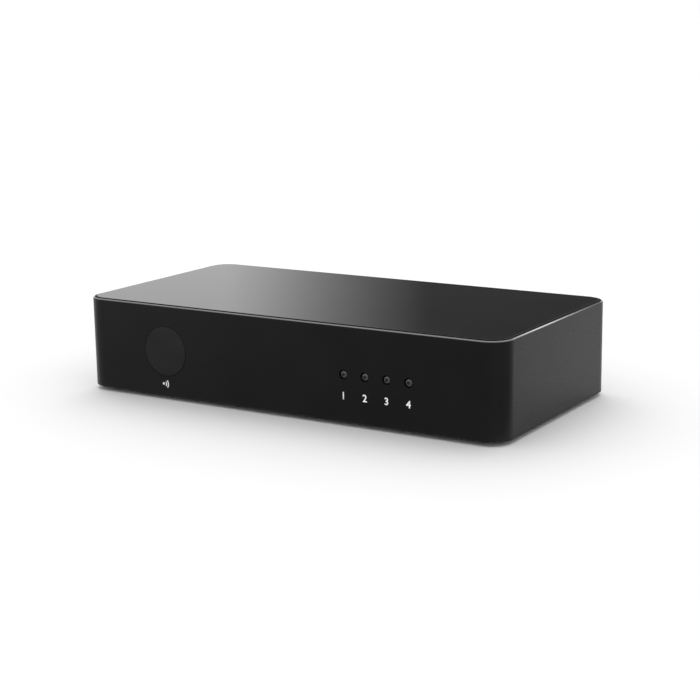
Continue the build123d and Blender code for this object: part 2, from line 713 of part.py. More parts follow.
def antenna(x_span, y_span, pad_x, pad_y):
    """A thin strip stuck under the top plate, with the solder pad that takes its lead."""
    under = PLATE_BOTTOM - ANTENNA_THICKNESS
    strip = block(x_span, y_span, (under, PLATE_BOTTOM))
    pad_sides = around(pad_x, ANTENNA_PAD_WIDTH)
    pad_depths = around(pad_y, ANTENNA_PAD_DEPTH)
    return strip + block(pad_sides, pad_depths, (under - ANTENNA_PAD_HEIGHT, PLATE_BOTTOM))


def wifi_antenna():
    sides = around(WIFI_ANTENNA_X, ANTENNA_WIDTH)
    depths = (WIFI_PAD_Y - ANTENNA_PAD_DEPTH, REAR_FACE - WIFI_ANTENNA_REAR_INSET)
    return antenna(sides, depths, WIFI_ANTENNA_X, WIFI_PAD_Y)


def bluetooth_antenna():
    sides = (BLUETOOTH_PAD_X - ANTENNA_PAD_WIDTH, BLUETOOTH_PAD_X + BLUETOOTH_ANTENNA_LENGTH)
    return antenna(sides, around(BLUETOOTH_Y, ANTENNA_WIDTH), BLUETOOTH_PAD_X, BLUETOOTH_Y)


def bend_radii(points):
    """For each corner, the arc that its two runs leave room for."""
    radii = []
    for before, corner, after in zip(points, points[1:], points[2:]):
        first = corner - before
        second = after - corner
        half_turn = radians(first.get_angle(second)) / 2
        radii.append(BEND_SHARE * min(first.length, second.length) / tan(half_turn))
    return radii


def lead(points):
    """A thin lead along straight runs and the arcs between them."""
    radii = bend_radii(points)
    route = FilletPolyline(*points, radius=radii)
    start = Plane(origin=points[0], z_dir=points[1] - points[0])
    section = RegularPolygon(LEAD_DIAMETER / 2, LEAD_SIDE_COUNT)
    tube = sweep(start * section, path=route)
    print("lead: bends of radius", [round(radius, 1) for radius in radii])
    print("volume", round(tube.volume, 2), "section times length", round(section.area * route.length, 2))
    return tube


def wifi_lead():
    """Out of its plug to the left, up under the antenna and back to the antenna's pad."""
    points = [
        Vector(PLUG_X - PLUG_WIDTH / 2, WIFI_PLUG_Y, PLUG_Z),
        Vector(WIFI_ANTENNA_X, WIFI_PLUG_Y, PLUG_Z),
        Vector(WIFI_ANTENNA_X, WIFI_PLUG_Y, PAD_Z),
        Vector(WIFI_ANTENNA_X, WIFI_PAD_Y - ANTENNA_PAD_DEPTH / 2, PAD_Z),
    ]
    return lead(points)


def bluetooth_lead():
    """Out of its plug to the left, forward and up, and over to the pad at the front."""
    climb_x = PLUG_X - BLUETOOTH_LEAD_SWING
    points = [
        Vector(PLUG_X - PLUG_WIDTH / 2, BLUETOOTH_PLUG_Y, PLUG_Z),
        Vector(climb_x, BLUETOOTH_PLUG_Y, PLUG_Z),
        Vector(climb_x, BLUETOOTH_Y, PAD_Z),
        Vector(BLUETOOTH_PAD_X - ANTENNA_PAD_WIDTH / 2, BLUETOOTH_Y, PAD_Z),
    ]
    return lead(points)


def lead_plugs():
    """The two push-on plugs at the module's edge."""
    plug = standing(PLUG_WIDTH, PLUG_WIDTH, PLUG_HEIGHT)
    return [Pos(PLUG_X, y, MODULE_TOP) * plug for y in (WIFI_PLUG_Y, BLUETOOTH_PLUG_Y)]


# Front: window, receiver, lights and their board


def front_board():
    sides = around(0, BODY_WIDTH - 2 * FRONT_BOARD_INSET)
    heights = (BOARD_TOP, BOARD_TOP + FRONT_BOARD_HEIGHT)
    return block(sides, (FRONT_BOARD_FACE, FRONT_BOARD_BACK), heights)


def front_header_block():
    start = FRONT_BOARD_BACK + HEADER_SETBACK
    sides = around(0, HEADER_PITCH * HEADER_PIN_COUNT)
    return block(sides, (start, start + HEADER_BLOCK), (BOARD_TOP, BOARD_TOP + HEADER_BLOCK))


def front_header_pins():
    """Square pins that leave the block upwards and bend forward to the front board."""
    middle = FRONT_BOARD_BACK + HEADER_SETBACK + HEADER_BLOCK / 2
    low = BOARD_TOP + HEADER_BLOCK
    bend = low + HEADER_BLOCK
    pins = []
    for x in row(0, HEADER_PITCH, HEADER_PIN_COUNT):
        width = around(x, HEADER_PIN)
        upright = block(width, around(middle, HEADER_PIN), (low, bend))
        reach = block(width, (FRONT_BOARD_BACK, middle + HEADER_PIN / 2), (bend - HEADER_PIN, bend))
        pins.append(upright + reach)
    return pins


def ir_window():
    """The round dark face in its seat."""
    front = FRONT_FACE - WINDOW_PROUD
    return rod_along_y(WINDOW_DIAMETER, WINDOW_X, WINDOW_Z, front, front + WINDOW_FACE_THICKNESS)


def ir_receiver():
    """The moulded receiver with its round lens towards the window."""
    face = FRONT_BOARD_FACE - RECEIVER_DEPTH
    heights = around(WINDOW_Z, RECEIVER_HEIGHT)
    body = block(around(WINDOW_X, RECEIVER_WIDTH), (face, FRONT_BOARD_FACE), heights)
    return body + rod_along_y(RECEIVER_LENS, WINDOW_X, WINDOW_Z, face - RECEIVER_LENS_REACH, face)


def source_led(x):
    depths = (FRONT_BOARD_FACE - LED_DEPTH, FRONT_BOARD_FACE)
    return block(around(x, LED_WIDTH), depths, around(LIGHT_Z, LED_HEIGHT))


def light_pipe(x):
    """A clear piece: a round tip in the wall, a flange that stops it and a square shank."""
    flange_back = FRONT_INNER + PIPE_FLANGE_THICKNESS
    tip = rod_along_y(PIPE_DIAMETER, x, LIGHT_Z, FRONT_FACE + PIPE_RECESS, FRONT_INNER)
    flange = square_bar(PIPE_FLANGE_WIDTH, x, LIGHT_Z, FRONT_INNER, flange_back)
    return tip + flange + square_bar(PIPE_SHANK, x, LIGHT_Z, flange_back, FRONT_BOARD_FACE - LED_DEPTH)


def light_baffle():
    """The dark bar that carries the light pipes and keeps their lights apart."""
    sides = (LIGHT_XS[0] - BAFFLE_MARGIN, LIGHT_XS[-1] + BAFFLE_MARGIN)
    bar = block(sides, (FRONT_INNER, FRONT_BOARD_FACE), around(LIGHT_Z, BAFFLE_HEIGHT))
    flange_hole = PIPE_FLANGE_WIDTH + 2 * PIPE_GAP
    flange_back = FRONT_INNER + PIPE_FLANGE_THICKNESS + PIPE_GAP
    shank_hole = PIPE_SHANK + 2 * PIPE_GAP
    pocket_front = FRONT_BOARD_FACE - LED_DEPTH - LED_POCKET_GAP
    heights = around(LIGHT_Z, LED_HEIGHT + 2 * LED_POCKET_GAP)
    for x in LIGHT_XS:
        bar -= square_bar(flange_hole, x, LIGHT_Z, FRONT_INNER - CUT_OVERRUN, flange_back)
        bar -= square_bar(shank_hole, x, LIGHT_Z, FRONT_INNER, FRONT_BOARD_FACE)
        pocket = around(x, LED_WIDTH + 2 * LED_POCKET_GAP)
        bar -= block(pocket, (pocket_front, FRONT_BOARD_FACE + CUT_OVERRUN), heights)
    return bar


# Rear sockets


def dc_jack_body():
    """A block whose front face fills its opening in the wall, bored for the plug."""
    depths = (REAR_FACE - DC_DEPTH, REAR_FACE)
    body = block(around(DC_X, DC_WIDTH), depths, (BOARD_TOP, BOARD_TOP + DC_HEIGHT))
    return body - rod_along_y(DC_BORE, DC_X, DC_Z, REAR_FACE - DC_BORE_DEPTH, REAR_FACE + CUT_OVERRUN)


def dc_jack_pin():
    tip = REAR_FACE - DC_PIN_TIP_SETBACK
    return rod_along_y(DC_PIN, DC_X, DC_Z, REAR_FACE - DC_BORE_DEPTH, tip)


def aux_jack():
    """A block on the board with a round nose through the wall, bored for a 3.5 mm plug."""
    depths = (BOARD_REAR - AUX_DEPTH, BOARD_REAR)
    body = block(around(AUX_X, AUX_WIDTH), depths, (BOARD_TOP, BOARD_TOP + AUX_HEIGHT))
    body += rod_along_y(AUX_NOSE, AUX_X, AUX_Z, BOARD_REAR, REAR_FACE)
    return body - rod_along_y(AUX_BORE, AUX_X, AUX_Z, REAR_FACE - AUX_BORE_DEPTH, REAR_FACE + CUT_OVERRUN)


def line_out_block():
    """The moulded block that carries both line-out barrels on its nose."""
    sides = (LINE_LEFT_X - LINE_BLOCK_MARGIN, LINE_RIGHT_X + LINE_BLOCK_MARGIN)
    depths = (BOARD_REAR - LINE_BLOCK_DEPTH, BOARD_REAR)
    body = block(sides, depths, (BOARD_TOP, BOARD_TOP + LINE_BLOCK_HEIGHT))
    nose_sides = around(LINE_MIDDLE_X, LINE_PITCH + LINE_NOSE_HEIGHT)
    body += block(nose_sides, (BOARD_REAR, REAR_FACE), around(LINE_Z, LINE_NOSE_HEIGHT))
    for x in (LINE_LEFT_X, LINE_RIGHT_X):
        body -= rod_along_y(INSERT_BORE, x, LINE_Z, REAR_FACE - LINE_BORE_DEPTH, REAR_FACE)
    return body


def line_out_barrel(x):
    """The metal tube on the block's nose that the line-out plug's shell grips."""
    tip = REAR_FACE + BARREL_REACH
    tube = rod_along_y(BARREL_DIAMETER, x, LINE_Z, REAR_FACE, tip)
    bore = BARREL_DIAMETER - 2 * BARREL_WALL
    return tube - rod_along_y(bore, x, LINE_Z, REAR_FACE - CUT_OVERRUN, tip + CUT_OVERRUN)


def line_out_insert(x):
    """The coloured insulator inside a barrel, bored for the plug's pin."""
    outside = BARREL_DIAMETER - 2 * (BARREL_WALL + BARREL_GAP)
    mouth = REAR_FACE + BARREL_REACH - INSERT_SETBACK
    core = rod_along_y(outside, x, LINE_Z, REAR_FACE, mouth)
    return core - rod_along_y(INSERT_BORE, x, LINE_Z, REAR_FACE - CUT_OVERRUN, mouth + CUT_OVERRUN)


def usb_spring_slots():
    """The U-shaped cuts that free two spring fingers in the shell's upper and lower walls."""
    mouth_end = SHELL_FACE - USB_SPRING_SETBACK
    root = mouth_end - USB_SPRING_LENGTH
    heights = (USB_BOTTOM - CUT_OVERRUN, USB_TOP + CUT_OVERRUN)
    cuts = []
    for x in row(USB_X, USB_SPRING_SPREAD, 2):
        slot_sides = around(x, USB_SPRING_WIDTH + 2 * USB_SPRING_SLOT)
        outer = block(slot_sides, (root - USB_SPRING_SLOT, mouth_end), heights)
        cuts.append(outer - block(around(x, USB_SPRING_WIDTH), (root, mouth_end), heights))
    return cuts


def usb_shell():
    """A folded sheet box, closed at its back, with its spring fingers cut free."""
    shell = block(around(USB_X, USB_WIDTH), (USB_BACK, SHELL_FACE), (USB_BOTTOM, USB_TOP))
    inner_sides = around(USB_X, USB_WIDTH - 2 * USB_SHEET)
    inner_depths = (USB_BACK + USB_SHEET, SHELL_FACE + CUT_OVERRUN)
    shell -= block(inner_sides, inner_depths, (USB_BOTTOM + USB_SHEET, USB_TOP - USB_SHEET))
    return shell - usb_spring_slots()


def usb_tongue():
    """The plastic root at the back of the shell and the flat tongue that the plug takes in."""
    root_width = USB_WIDTH - 2 * (USB_SHEET + USB_ROOT_GAP)
    inner = (USB_BOTTOM + USB_SHEET, USB_TOP - USB_SHEET)
    root = block(around(USB_X, root_width), (USB_BACK + USB_SHEET, USB_ROOT_FRONT), inner)
    depths = (USB_ROOT_FRONT, SHELL_FACE - USB_TONGUE_SETBACK)
    return root + block(around(USB_X, USB_TONGUE_WIDTH), depths, (USB_TONGUE_BOTTOM, USB_TONGUE_TOP))


def usb_contacts():
    """Four flat strips under the tongue."""
    depths = (USB_ROOT_FRONT, SHELL_FACE - USB_TONGUE_SETBACK - USB_CONTACT_SETBACK)
    heights = (USB_TONGUE_BOTTOM - USB_CONTACT_THICKNESS, USB_TONGUE_BOTTOM)
    places = row(USB_X, USB_CONTACT_PITCH, USB_CONTACT_COUNT)
    return [block(around(x, USB_CONTACT_WIDTH), depths, heights) for x in places]


def lan_shell():
    """A folded sheet box round the insert, open at the mouth and underneath."""
    shell = block(around(LAN_X, LAN_WIDTH), (LAN_BACK, SHELL_FACE), (LAN_BOTTOM, LAN_TOP))
    inner = around(LAN_X, LAN_WIDTH - 2 * LAN_SHEET)
    depths = (LAN_BACK + LAN_SHEET, SHELL_FACE + CUT_OVERRUN)
    return shell - block(inner, depths, (LAN_BOTTOM - CUT_OVERRUN, LAN_TOP - LAN_SHEET))


def lan_port():
    """The plug's space: a wide port with two steps below it for the latch."""
    depths = (SHELL_FACE - LAN_PORT_DEPTH, SHELL_FACE + CUT_OVERRUN)
    port = block(around(LAN_X, LAN_PORT_WIDTH), depths, (LAN_FLOOR_Z, LAN_CEILING_Z))
    upper = LAN_FLOOR_Z - LAN_UPPER_STEP_HEIGHT
    lower = upper - LAN_LOWER_STEP_HEIGHT
    port += block(around(LAN_X, LAN_UPPER_STEP_WIDTH), depths, (upper, LAN_FLOOR_Z))
    return port + block(around(LAN_X, LAN_LOWER_STEP_WIDTH), depths, (lower, upper))


def lan_light_blocks(front):
    """The space of the two small lights in the mouth's upper corners, out to a given face."""
    middle = LAN_WIDTH / 2 - LAN_SHEET - LAN_LIGHT_MARGIN - LAN_LIGHT_WIDTH / 2
    top = LAN_TOP - LAN_SHEET - LAN_LIGHT_MARGIN
    depths = (SHELL_FACE - LAN_LIGHT_DEPTH, front)
    heights = (top - LAN_LIGHT_HEIGHT, top)
    return [block(around(x, LAN_LIGHT_WIDTH), depths, heights) for x in (LAN_X - middle, LAN_X + middle)]


def lan_insert():
    """The moulded block inside the shell, with the port and the pockets of its two lights."""
    inner = around(LAN_X, LAN_WIDTH - 2 * LAN_SHEET)
    depths = (LAN_BACK + LAN_SHEET, SHELL_FACE)
    insert = block(inner, depths, (LAN_BOTTOM, LAN_TOP - LAN_SHEET))
    return insert - lan_port() - lan_light_blocks(SHELL_FACE + CUT_OVERRUN)


def lan_lights():
    return lan_light_blocks(SHELL_FACE)


def lan_contacts():
    """Eight spring wires that lie under the port's ceiling and fold back down into it."""
    back = SHELL_FACE - LAN_CONTACT_BACK
    front = SHELL_FACE - LAN_CONTACT_FRONT
    tip = SHELL_FACE - LAN_CONTACT_TIP
    thick = LAN_CONTACT_THICKNESS
    top = LAN_CEILING_Z
    nose = top - LAN_CONTACT_NOSE
    end = top - LAN_CONTACT_FALL
    side_view = [
        (back, top),
        (front - thick, top),
        (front, top - thick),
        (front, nose + thick),
        (front - thick, nose),
        (tip, end),
        (tip, end + thick),
        (front - thick, nose + thick),
        (front - thick, top - thick),
        (back, top - thick),
    ]
    places = row(LAN_X, LAN_CONTACT_PITCH, LAN_CONTACT_COUNT)
    return [side_view_bar(side_view, x, LAN_CONTACT_WIDTH) for x in places]


# Pairing button and its switch


def pair_switch():
    """A switch block on the board, hollowed for the button's collar and its travel."""
    depths = (BOARD_REAR - SWITCH_DEPTH, BOARD_REAR)
    body = block(around(BUTTON_X, SWITCH_WIDTH), depths, (BOARD_TOP, BOARD_TOP + SWITCH_HEIGHT))
    pocket = COLLAR_WIDTH + 2 * COLLAR_GAP
    body -= square_bar(pocket, BUTTON_X, BUTTON_Z, COLLAR_SPACE_FRONT, COLLAR_BACK)
    stem_hole = BUTTON_DIAMETER + 2 * BUTTON_RUNNING_GAP
    return body - rod_along_y(stem_hole, BUTTON_X, BUTTON_Z, COLLAR_BACK, BOARD_REAR + CUT_OVERRUN)


def pair_button():
    """The round stem that stands out of the rear wall, with the square collar that keeps it in."""
    stem = rod_along_y(BUTTON_DIAMETER, BUTTON_X, BUTTON_Z, COLLAR_BACK, REAR_FACE + BUTTON_PROUD)
    stem = chamfer(stem.edges().group_by(Axis.Y)[-1], BUTTON_BEVEL)
    return stem + square_bar(COLLAR_WIDTH, BUTTON_X, BUTTON_Z, COLLAR_BACK - COLLAR_THICKNESS, COLLAR_BACK)


def all_pieces():
    """Every piece by its name; a list stands for a group of separate solids."""
    pieces = {
        "wall_ring": wall_ring(),
        "top_plate": top_plate(),
        "plate_tape": plate_tape(),
        "bottom_cover": bottom_cover(),
        "cover_screws": cover_screws(),
        "main_board": main_board(),
        "board_screws": board_screws(),
        "network_module": network_module(),
        "module_shield": module_shield(),
        "control_chip": control_chip(),
        "audio_chip": audio_chip(),
        "crystal_can": crystal_can(),
        "lan_transformer": lan_transformer(),
        "supply_capacitors": supply_capacitors(),
        "output_capacitors": output_capacitors(),
        "power_inductors": power_inductors(),
        "wifi_antenna": wifi_antenna(),
        "bluetooth_antenna": bluetooth_antenna(),
        "wifi_lead": wifi_lead(),
        "bluetooth_lead": bluetooth_lead(),
        "lead_plugs": lead_plugs(),
        "front_board": front_board(),
        "front_header_block": front_header_block(),
        "front_header_pins": front_header_pins(),
        "ir_window": ir_window(),
        "ir_receiver": ir_receiver(),
        "light_baffle": light_baffle(),
        "dc_jack_body": dc_jack_body(),
        "dc_jack_pin": dc_jack_pin(),
        "aux_jack": aux_jack(),
        "line_out_block": line_out_block(),
        "usb_shell": usb_shell(),
        "usb_tongue": usb_tongue(),
        "usb_contacts": usb_contacts(),
        "lan_shell": lan_shell(),
        "lan_insert": lan_insert(),
        "lan_contacts": lan_contacts(),
        "lan_lights": lan_lights(),
        "pair_switch": pair_switch(),
        "pair_button": pair_button(),
    }
    for number, x in enumerate(LIGHT_XS, start=1):
        pieces[f"source_led_{number}"] = source_led(x)
        pieces[f"light_pipe_{number}"] = light_pipe(x)
    for side, x in (("left", LINE_LEFT_X), ("right", LINE_RIGHT_X)):
        pieces[f"line_out_barrel_{side}"] = line_out_barrel(x)
        pieces[f"line_out_insert_{side}"] = line_out_insert(x)
    corner_names = ("front_left", "rear_left", "front_right", "rear_right")
    for name, (x, y) in zip(corner_names, foot_places()):
        pieces[f"foot_{name}"] = Pos(x, y, 0) * foot()
    return pieces


os.makedirs("parts", exist_ok=True)
for name, piece in all_pieces().items():
    shape = Compound(children=piece) if isinstance(piece, list) else piece
    export_step(shape, f"parts/{name}.step")
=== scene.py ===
# %% [markdown]
# A low black audio controller, dressed for the studio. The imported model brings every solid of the
# box in its true place. Blender adds what solids leave out: the finish of each surface, the soft
# light on it, and small things such as printing, lens tips, screw recesses and solder joints.
# One length unit is a metre, X runs to the right, Y to the back and Z up.

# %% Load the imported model
import json
import math

import bmesh
import bpy
from mathutils import Matrix, Vector


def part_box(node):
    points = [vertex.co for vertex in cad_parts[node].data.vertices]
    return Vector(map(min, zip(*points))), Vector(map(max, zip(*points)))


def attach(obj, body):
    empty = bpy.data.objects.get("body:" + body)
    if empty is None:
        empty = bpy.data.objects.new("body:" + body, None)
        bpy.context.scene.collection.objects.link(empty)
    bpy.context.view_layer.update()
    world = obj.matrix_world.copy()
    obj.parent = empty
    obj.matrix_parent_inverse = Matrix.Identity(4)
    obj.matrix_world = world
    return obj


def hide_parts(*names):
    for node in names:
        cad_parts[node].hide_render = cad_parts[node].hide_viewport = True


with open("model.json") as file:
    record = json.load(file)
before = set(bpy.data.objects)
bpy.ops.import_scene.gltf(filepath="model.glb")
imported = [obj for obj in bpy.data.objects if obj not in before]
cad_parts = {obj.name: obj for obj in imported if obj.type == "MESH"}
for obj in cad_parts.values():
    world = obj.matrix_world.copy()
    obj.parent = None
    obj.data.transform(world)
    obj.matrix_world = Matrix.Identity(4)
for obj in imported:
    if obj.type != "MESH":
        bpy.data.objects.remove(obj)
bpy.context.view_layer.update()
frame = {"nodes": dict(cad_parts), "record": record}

MM = 0.001
scene = bpy.context.scene
nodes = frame["nodes"]
print(len(nodes), "pieces loaded")

# %% [markdown]
# The camera stands in front of the box and to its right, and looks down on it a little. Its place
# is given as the angles and the distance from the point it looks at, because those are what a
# photographer would change. The turn about its own axis is the slight tilt of a hand-held shot.
# The sensor's width and the focal length are in millimetres, as on a real camera.

# %% Camera
CAMERA_AZIMUTH = math.radians(31.975)
CAMERA_ELEVATION = math.radians(12.532)
CAMERA_ROLL = math.radians(-0.868)
CAMERA_DISTANCE = 536.74 * MM
CAMERA_TARGET = Vector((2.457, -4.0, 14.405)) * MM
SENSOR_WIDTH = 36.0
FOCAL_LENGTH = 81.07


def new_object(name, data):
    """An object in the scene that holds this camera, mesh, type or lamp."""
    thing = bpy.data.objects.new(name, data)
    scene.collection.objects.link(thing)
    return thing


def direction(azimuth, elevation):
    """The way from the target to a viewer who stands at these angles."""
    flat = math.cos(elevation)
    return Vector((math.sin(azimuth) * flat, -math.cos(azimuth) * flat, math.sin(elevation)))


def camera_matrix():
    back = direction(CAMERA_AZIMUTH, CAMERA_ELEVATION)
    right = Vector((0, 0, 1)).cross(back).normalized()
    up = back.cross(right)
    turn = Matrix.Rotation(CAMERA_ROLL, 3, back)
    axes = Matrix((turn @ right, turn @ up, back)).transposed().to_4x4()
    return Matrix.Translation(CAMERA_TARGET + back * CAMERA_DISTANCE) @ axes


camera = new_object("camera", bpy.data.cameras.new("camera"))
camera.matrix_world = camera_matrix()
camera.data.sensor_width = SENSOR_WIDTH
camera.data.lens = FOCAL_LENGTH
camera.data.clip_start = 10 * MM
scene.camera = camera
print("camera at", [round(v / MM, 1) for v in camera.matrix_world.translation], "mm")

# %% [markdown]
# A finish is a tree of nodes. A few short helpers keep the later cells readable: they add a node
# and fill its sockets by name, start a new material, mix two shaders and show the result.

# %% Helpers for node trees


def feed(tree, socket, value):
    """Links a socket to another node's output, or sets it to a plain value."""
    if isinstance(value, bpy.types.NodeSocket):
        tree.links.new(value, socket)
    else:
        socket.default_value = value


def fill(tree, node, sockets):
    """Feeds the sockets of a node, given by name or number."""
    for name, value in sockets.items():
        feed(tree, node.inputs[name], value)


def add(tree, kind, sockets=None, **settings):
    """Adds a node with its settings, and fills its sockets."""
    node = tree.nodes.new(kind)
    for name, value in settings.items():
        setattr(node, name, value)
    fill(tree, node, sockets or {})
    return node


finishes = {}


def surface(name):
    """Starts a new finish, and gives its tree and its shader."""
    material = bpy.data.materials.new(name)
    material.use_nodes = True
    finishes[name] = material
    return material.node_tree, material.node_tree.nodes["Principled BSDF"]


def mixed(tree, mask, first, second):
    """The first shader where the mask is 0, and the second where it is 1."""
    return add(tree, "ShaderNodeMixShader", {0: mask, 1: first.outputs[0], 2: second.outputs[0]})


def show(tree, shader):
    """Makes this shader the one that the surface shows."""
    tree.links.new(shader.outputs[0], tree.nodes["Material Output"].inputs["Surface"])


# %% [markdown]
# What varies over a finish comes from patterns. One helper gives noise whose grains have a size in
# metres, others spread a value over numbers or colours, and one bends the surface by a height. All
# patterns read Object coordinates, so they stay on the piece.

# %% Helpers for patterns


def on_piece(tree, stretch=(1, 1, 1)):
    """The piece's own coordinates, squeezed along an axis where a pattern is drawn out."""
    where = add(tree, "ShaderNodeTexCoord").outputs["Object"]
    return add(tree, "ShaderNodeMapping", {"Vector": where, "Scale": stretch}).outputs["Vector"]


def upward(tree, kind):
    """The Z of each point's place (Object) or of the way it faces (Normal)."""
    where = add(tree, "ShaderNodeTexCoord").outputs[kind]
    return add(tree, "ShaderNodeSeparateXYZ", {0: where}).outputs["Z"]


def grains(tree, size, detail=2.0, stretch=(1, 1, 1)):
    """Noise with grains of about one size."""
    sockets = {"Vector": on_piece(tree, stretch), "Scale": 1 / size, "Detail": detail}
    return add(tree, "ShaderNodeTexNoise", sockets).outputs["Fac"]


NOISE_LOW = 0.35
NOISE_HIGH = 0.65


def between(tree, value, low, high, start=NOISE_LOW, end=NOISE_HIGH):
    """Spreads a value, such as noise, over a new range."""
    sockets = {"Value": value, "From Min": start, "From Max": end, "To Min": low, "To Max": high}
    return add(tree, "ShaderNodeMapRange", sockets).outputs["Result"]


def around(tree, value, middle, spread):
    """Spreads a value as far below a middle as above it."""
    return between(tree, value, middle - spread, middle + spread)


def shades(tree, value, dark, light, start=NOISE_LOW, end=NOISE_HIGH):
    """A colour that runs from the first to the second as a value rises."""
    ramp = add(tree, "ShaderNodeValToRGB", {"Fac": value})
    low, high = ramp.color_ramp.elements
    low.position, high.position = start, end
    low.color = (*dark, 1)
    high.color = (*light, 1)
    return ramp.outputs["Color"]


def tints(colour, shares):
    """The same colour, made darker or lighter by each share."""
    return [tuple(channel * share for channel in colour) for share in shares]


def maths(tree, operation, first, second=0.0):
    return add(tree, "ShaderNodeMath", {0: first, 1: second}, operation=operation).outputs["Value"]


def relief(tree, height, depth):
    """Bends the surface by a height between 0 and 1."""
    bump = add(tree, "ShaderNodeBump", {"Height": height, "Distance": depth, "Strength": 1.0})
    return bump.outputs["Normal"]


# %% [markdown]
# Most pieces are moulded plastic. A mould leaves a fine even grain, and the colour drifts a little
# over a few centimetres. One function with a few values makes them all, so the differences between
# two plastics are easy to read. Each call gives a colour and the middle of the roughness.

# %% Moulded plastics and rubber
PATCH_SIZE = 14 * MM
PATCH_SHARES = (0.85, 1.15)
ROUGHNESS_SPREAD = 0.06


def moulded(name, colour, roughness, grain=0.25 * MM, depth=0.01 * MM, gloss=0.5, coat=0.0):
    tree, shader = surface(name)
    patches = grains(tree, PATCH_SIZE, detail=3)
    fine = grains(tree, grain)
    looks = {
        "Base Color": shades(tree, patches, *tints(colour, PATCH_SHARES)),
        "Roughness": around(tree, fine, roughness, ROUGHNESS_SPREAD),
        "Normal": relief(tree, fine, depth),
        "Specular IOR Level": gloss,
        "Coat Weight": coat,
    }
    fill(tree, shader, looks)


moulded("cover_plastic", (0.022, 0.022, 0.024), 0.55, grain=0.5 * MM, depth=0.05 * MM)
moulded("jack_black", (0.018, 0.018, 0.019), 0.42)
moulded("foot_rubber", (0.02, 0.02, 0.02), 0.8, grain=0.35 * MM, depth=0.03 * MM, gloss=0.3)
moulded("tape_black", (0.015, 0.015, 0.015), 0.9, grain=0.3 * MM, depth=0.04 * MM)
moulded("button_black", (0.03, 0.03, 0.031), 0.38)
moulded("insert_white", (0.78, 0.77, 0.73), 0.3)
moulded("insert_red", (0.52, 0.012, 0.014), 0.3)
moulded("ferrite_grey", (0.09, 0.09, 0.095), 0.7, grain=0.15 * MM, depth=0.02 * MM)
moulded("film_box", (0.02, 0.06, 0.2), 0.35)
moulded("lead_grey", (0.16, 0.16, 0.165), 0.5, grain=0.4 * MM)
moulded("receiver_dark", (0.018, 0.012, 0.014), 0.16, coat=0.4)
print(len(finishes), "moulded finishes made")

# %% [markdown]
# Plated and bare metals differ in their colour and in how the light smears. A stamped shell has
# faint drawn lines, which are noise squeezed along one axis, and handling leaves soft patches.

# %% Metals
METAL_PATCH = 3 * MM
METAL_SHARES = (0.94, 1.0)
METAL_SPREAD = 0.02
DRAWN_LINE = 0.12 * MM


def plated(name, colour, roughness, lines=(1, 1, 1), depth=0.0015 * MM):
    tree, shader = surface(name)
    patches = grains(tree, METAL_PATCH, detail=4)
    drawn = grains(tree, DRAWN_LINE, stretch=lines)
    looks = {
        "Metallic": 1.0,
        "Base Color": shades(tree, patches, *tints(colour, METAL_SHARES)),
        "Roughness": around(tree, patches, roughness, METAL_SPREAD),
        "Normal": relief(tree, drawn, depth),
    }
    fill(tree, shader, looks)


plated("nickel", (0.72, 0.7, 0.66), 0.34, lines=(1, 0.08, 1))
plated("contact_gold", (0.83, 0.6, 0.22), 0.2)
plated("tinned_steel", (0.6, 0.6, 0.58), 0.34, lines=(0.1, 1, 1))
plated("can_aluminium", (0.72, 0.73, 0.74), 0.3, lines=(1, 1, 0.1))
plated("screw_steel", (0.58, 0.58, 0.59), 0.32)
plated("screw_black", (0.055, 0.055, 0.06), 0.38)
plated("solder", (0.62, 0.63, 0.64), 0.24, depth=0.01 * MM)
print(len(finishes), "finishes with the metals")

# %% [markdown]
# The wall is one piece of aluminium, blasted to a fine grain, anodised black and then cut once
# more along its top edge. The cut leaves a bright line, and the foot of the bevel stays black. The
# flat of the rim, next to the plate, mirrors less than the walls, and its colour is made a little
# darker as painted shade for the narrow gap beside the plate. The finishes belong to one solid, so
# one material holds them and tells them apart by height and by the slope of the surface. The cut
# is nearly a mirror, so it shows where the lights stand.

# %% Where the wall's bright cut and its dull rim lie
wall_low, wall_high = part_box("wall_ring")
BRIGHT_CUT_HEIGHT = 0.29 * MM
RIM_FLAT_DEPTH = 0.01 * MM
CUT_EDGE_SLOPE = 0.7071
SLOPE_TOLERANCE = 0.25


def cut_edge_mask(tree):
    """1 on the bright part of the bevel round the wall's top, 0 elsewhere."""
    high = maths(tree, "GREATER_THAN", upward(tree, "Object"), wall_high.z - BRIGHT_CUT_HEIGHT)
    sloped = maths(tree, "COMPARE", upward(tree, "Normal"), CUT_EDGE_SLOPE)
    sloped.node.inputs[2].default_value = SLOPE_TOLERANCE
    return maths(tree, "MULTIPLY", high, sloped)


def rim_flat_mask(tree):
    """1 on the flat top of the rim between the bevel and the plate, where shade is painted, 0 elsewhere."""
    return maths(tree, "GREATER_THAN", upward(tree, "Object"), wall_high.z - RIM_FLAT_DEPTH)


print("wall from", round(wall_low.z / MM, 2), "to", round(wall_high.z / MM, 2), "mm")

# %% Wall: black anodised, with a bright cut edge
WALL_GRAIN = 0.5 * MM
WALL_GRAIN_DEPTH = 0.012 * MM
WALL_PATCH = 22 * MM
ANODISED_COLOURS = ((0.0072, 0.0072, 0.0073), (0.009, 0.009, 0.0091))
ANODISED_ROUGHNESS = (0.31, 0.49)
ANODISED_GLOSS = 0.24
TOOL_MARK = 0.15 * MM
TOOL_MARK_STRETCH = (1, 1, 0.05)
CUT_COLOURS = ((0.22, 0.225, 0.225), (0.29, 0.29, 0.29))
CUT_ROUGHNESS = (0.07, 0.11)
# The rim flat's darker colour is painted shade for the narrow gap beside the plate.
RIM_SHADE_COLOURS = ((0.006, 0.006, 0.006), (0.008, 0.008, 0.008))
RIM_ROUGHNESS = (0.6, 0.75)
RIM_GLOSS = 0.08


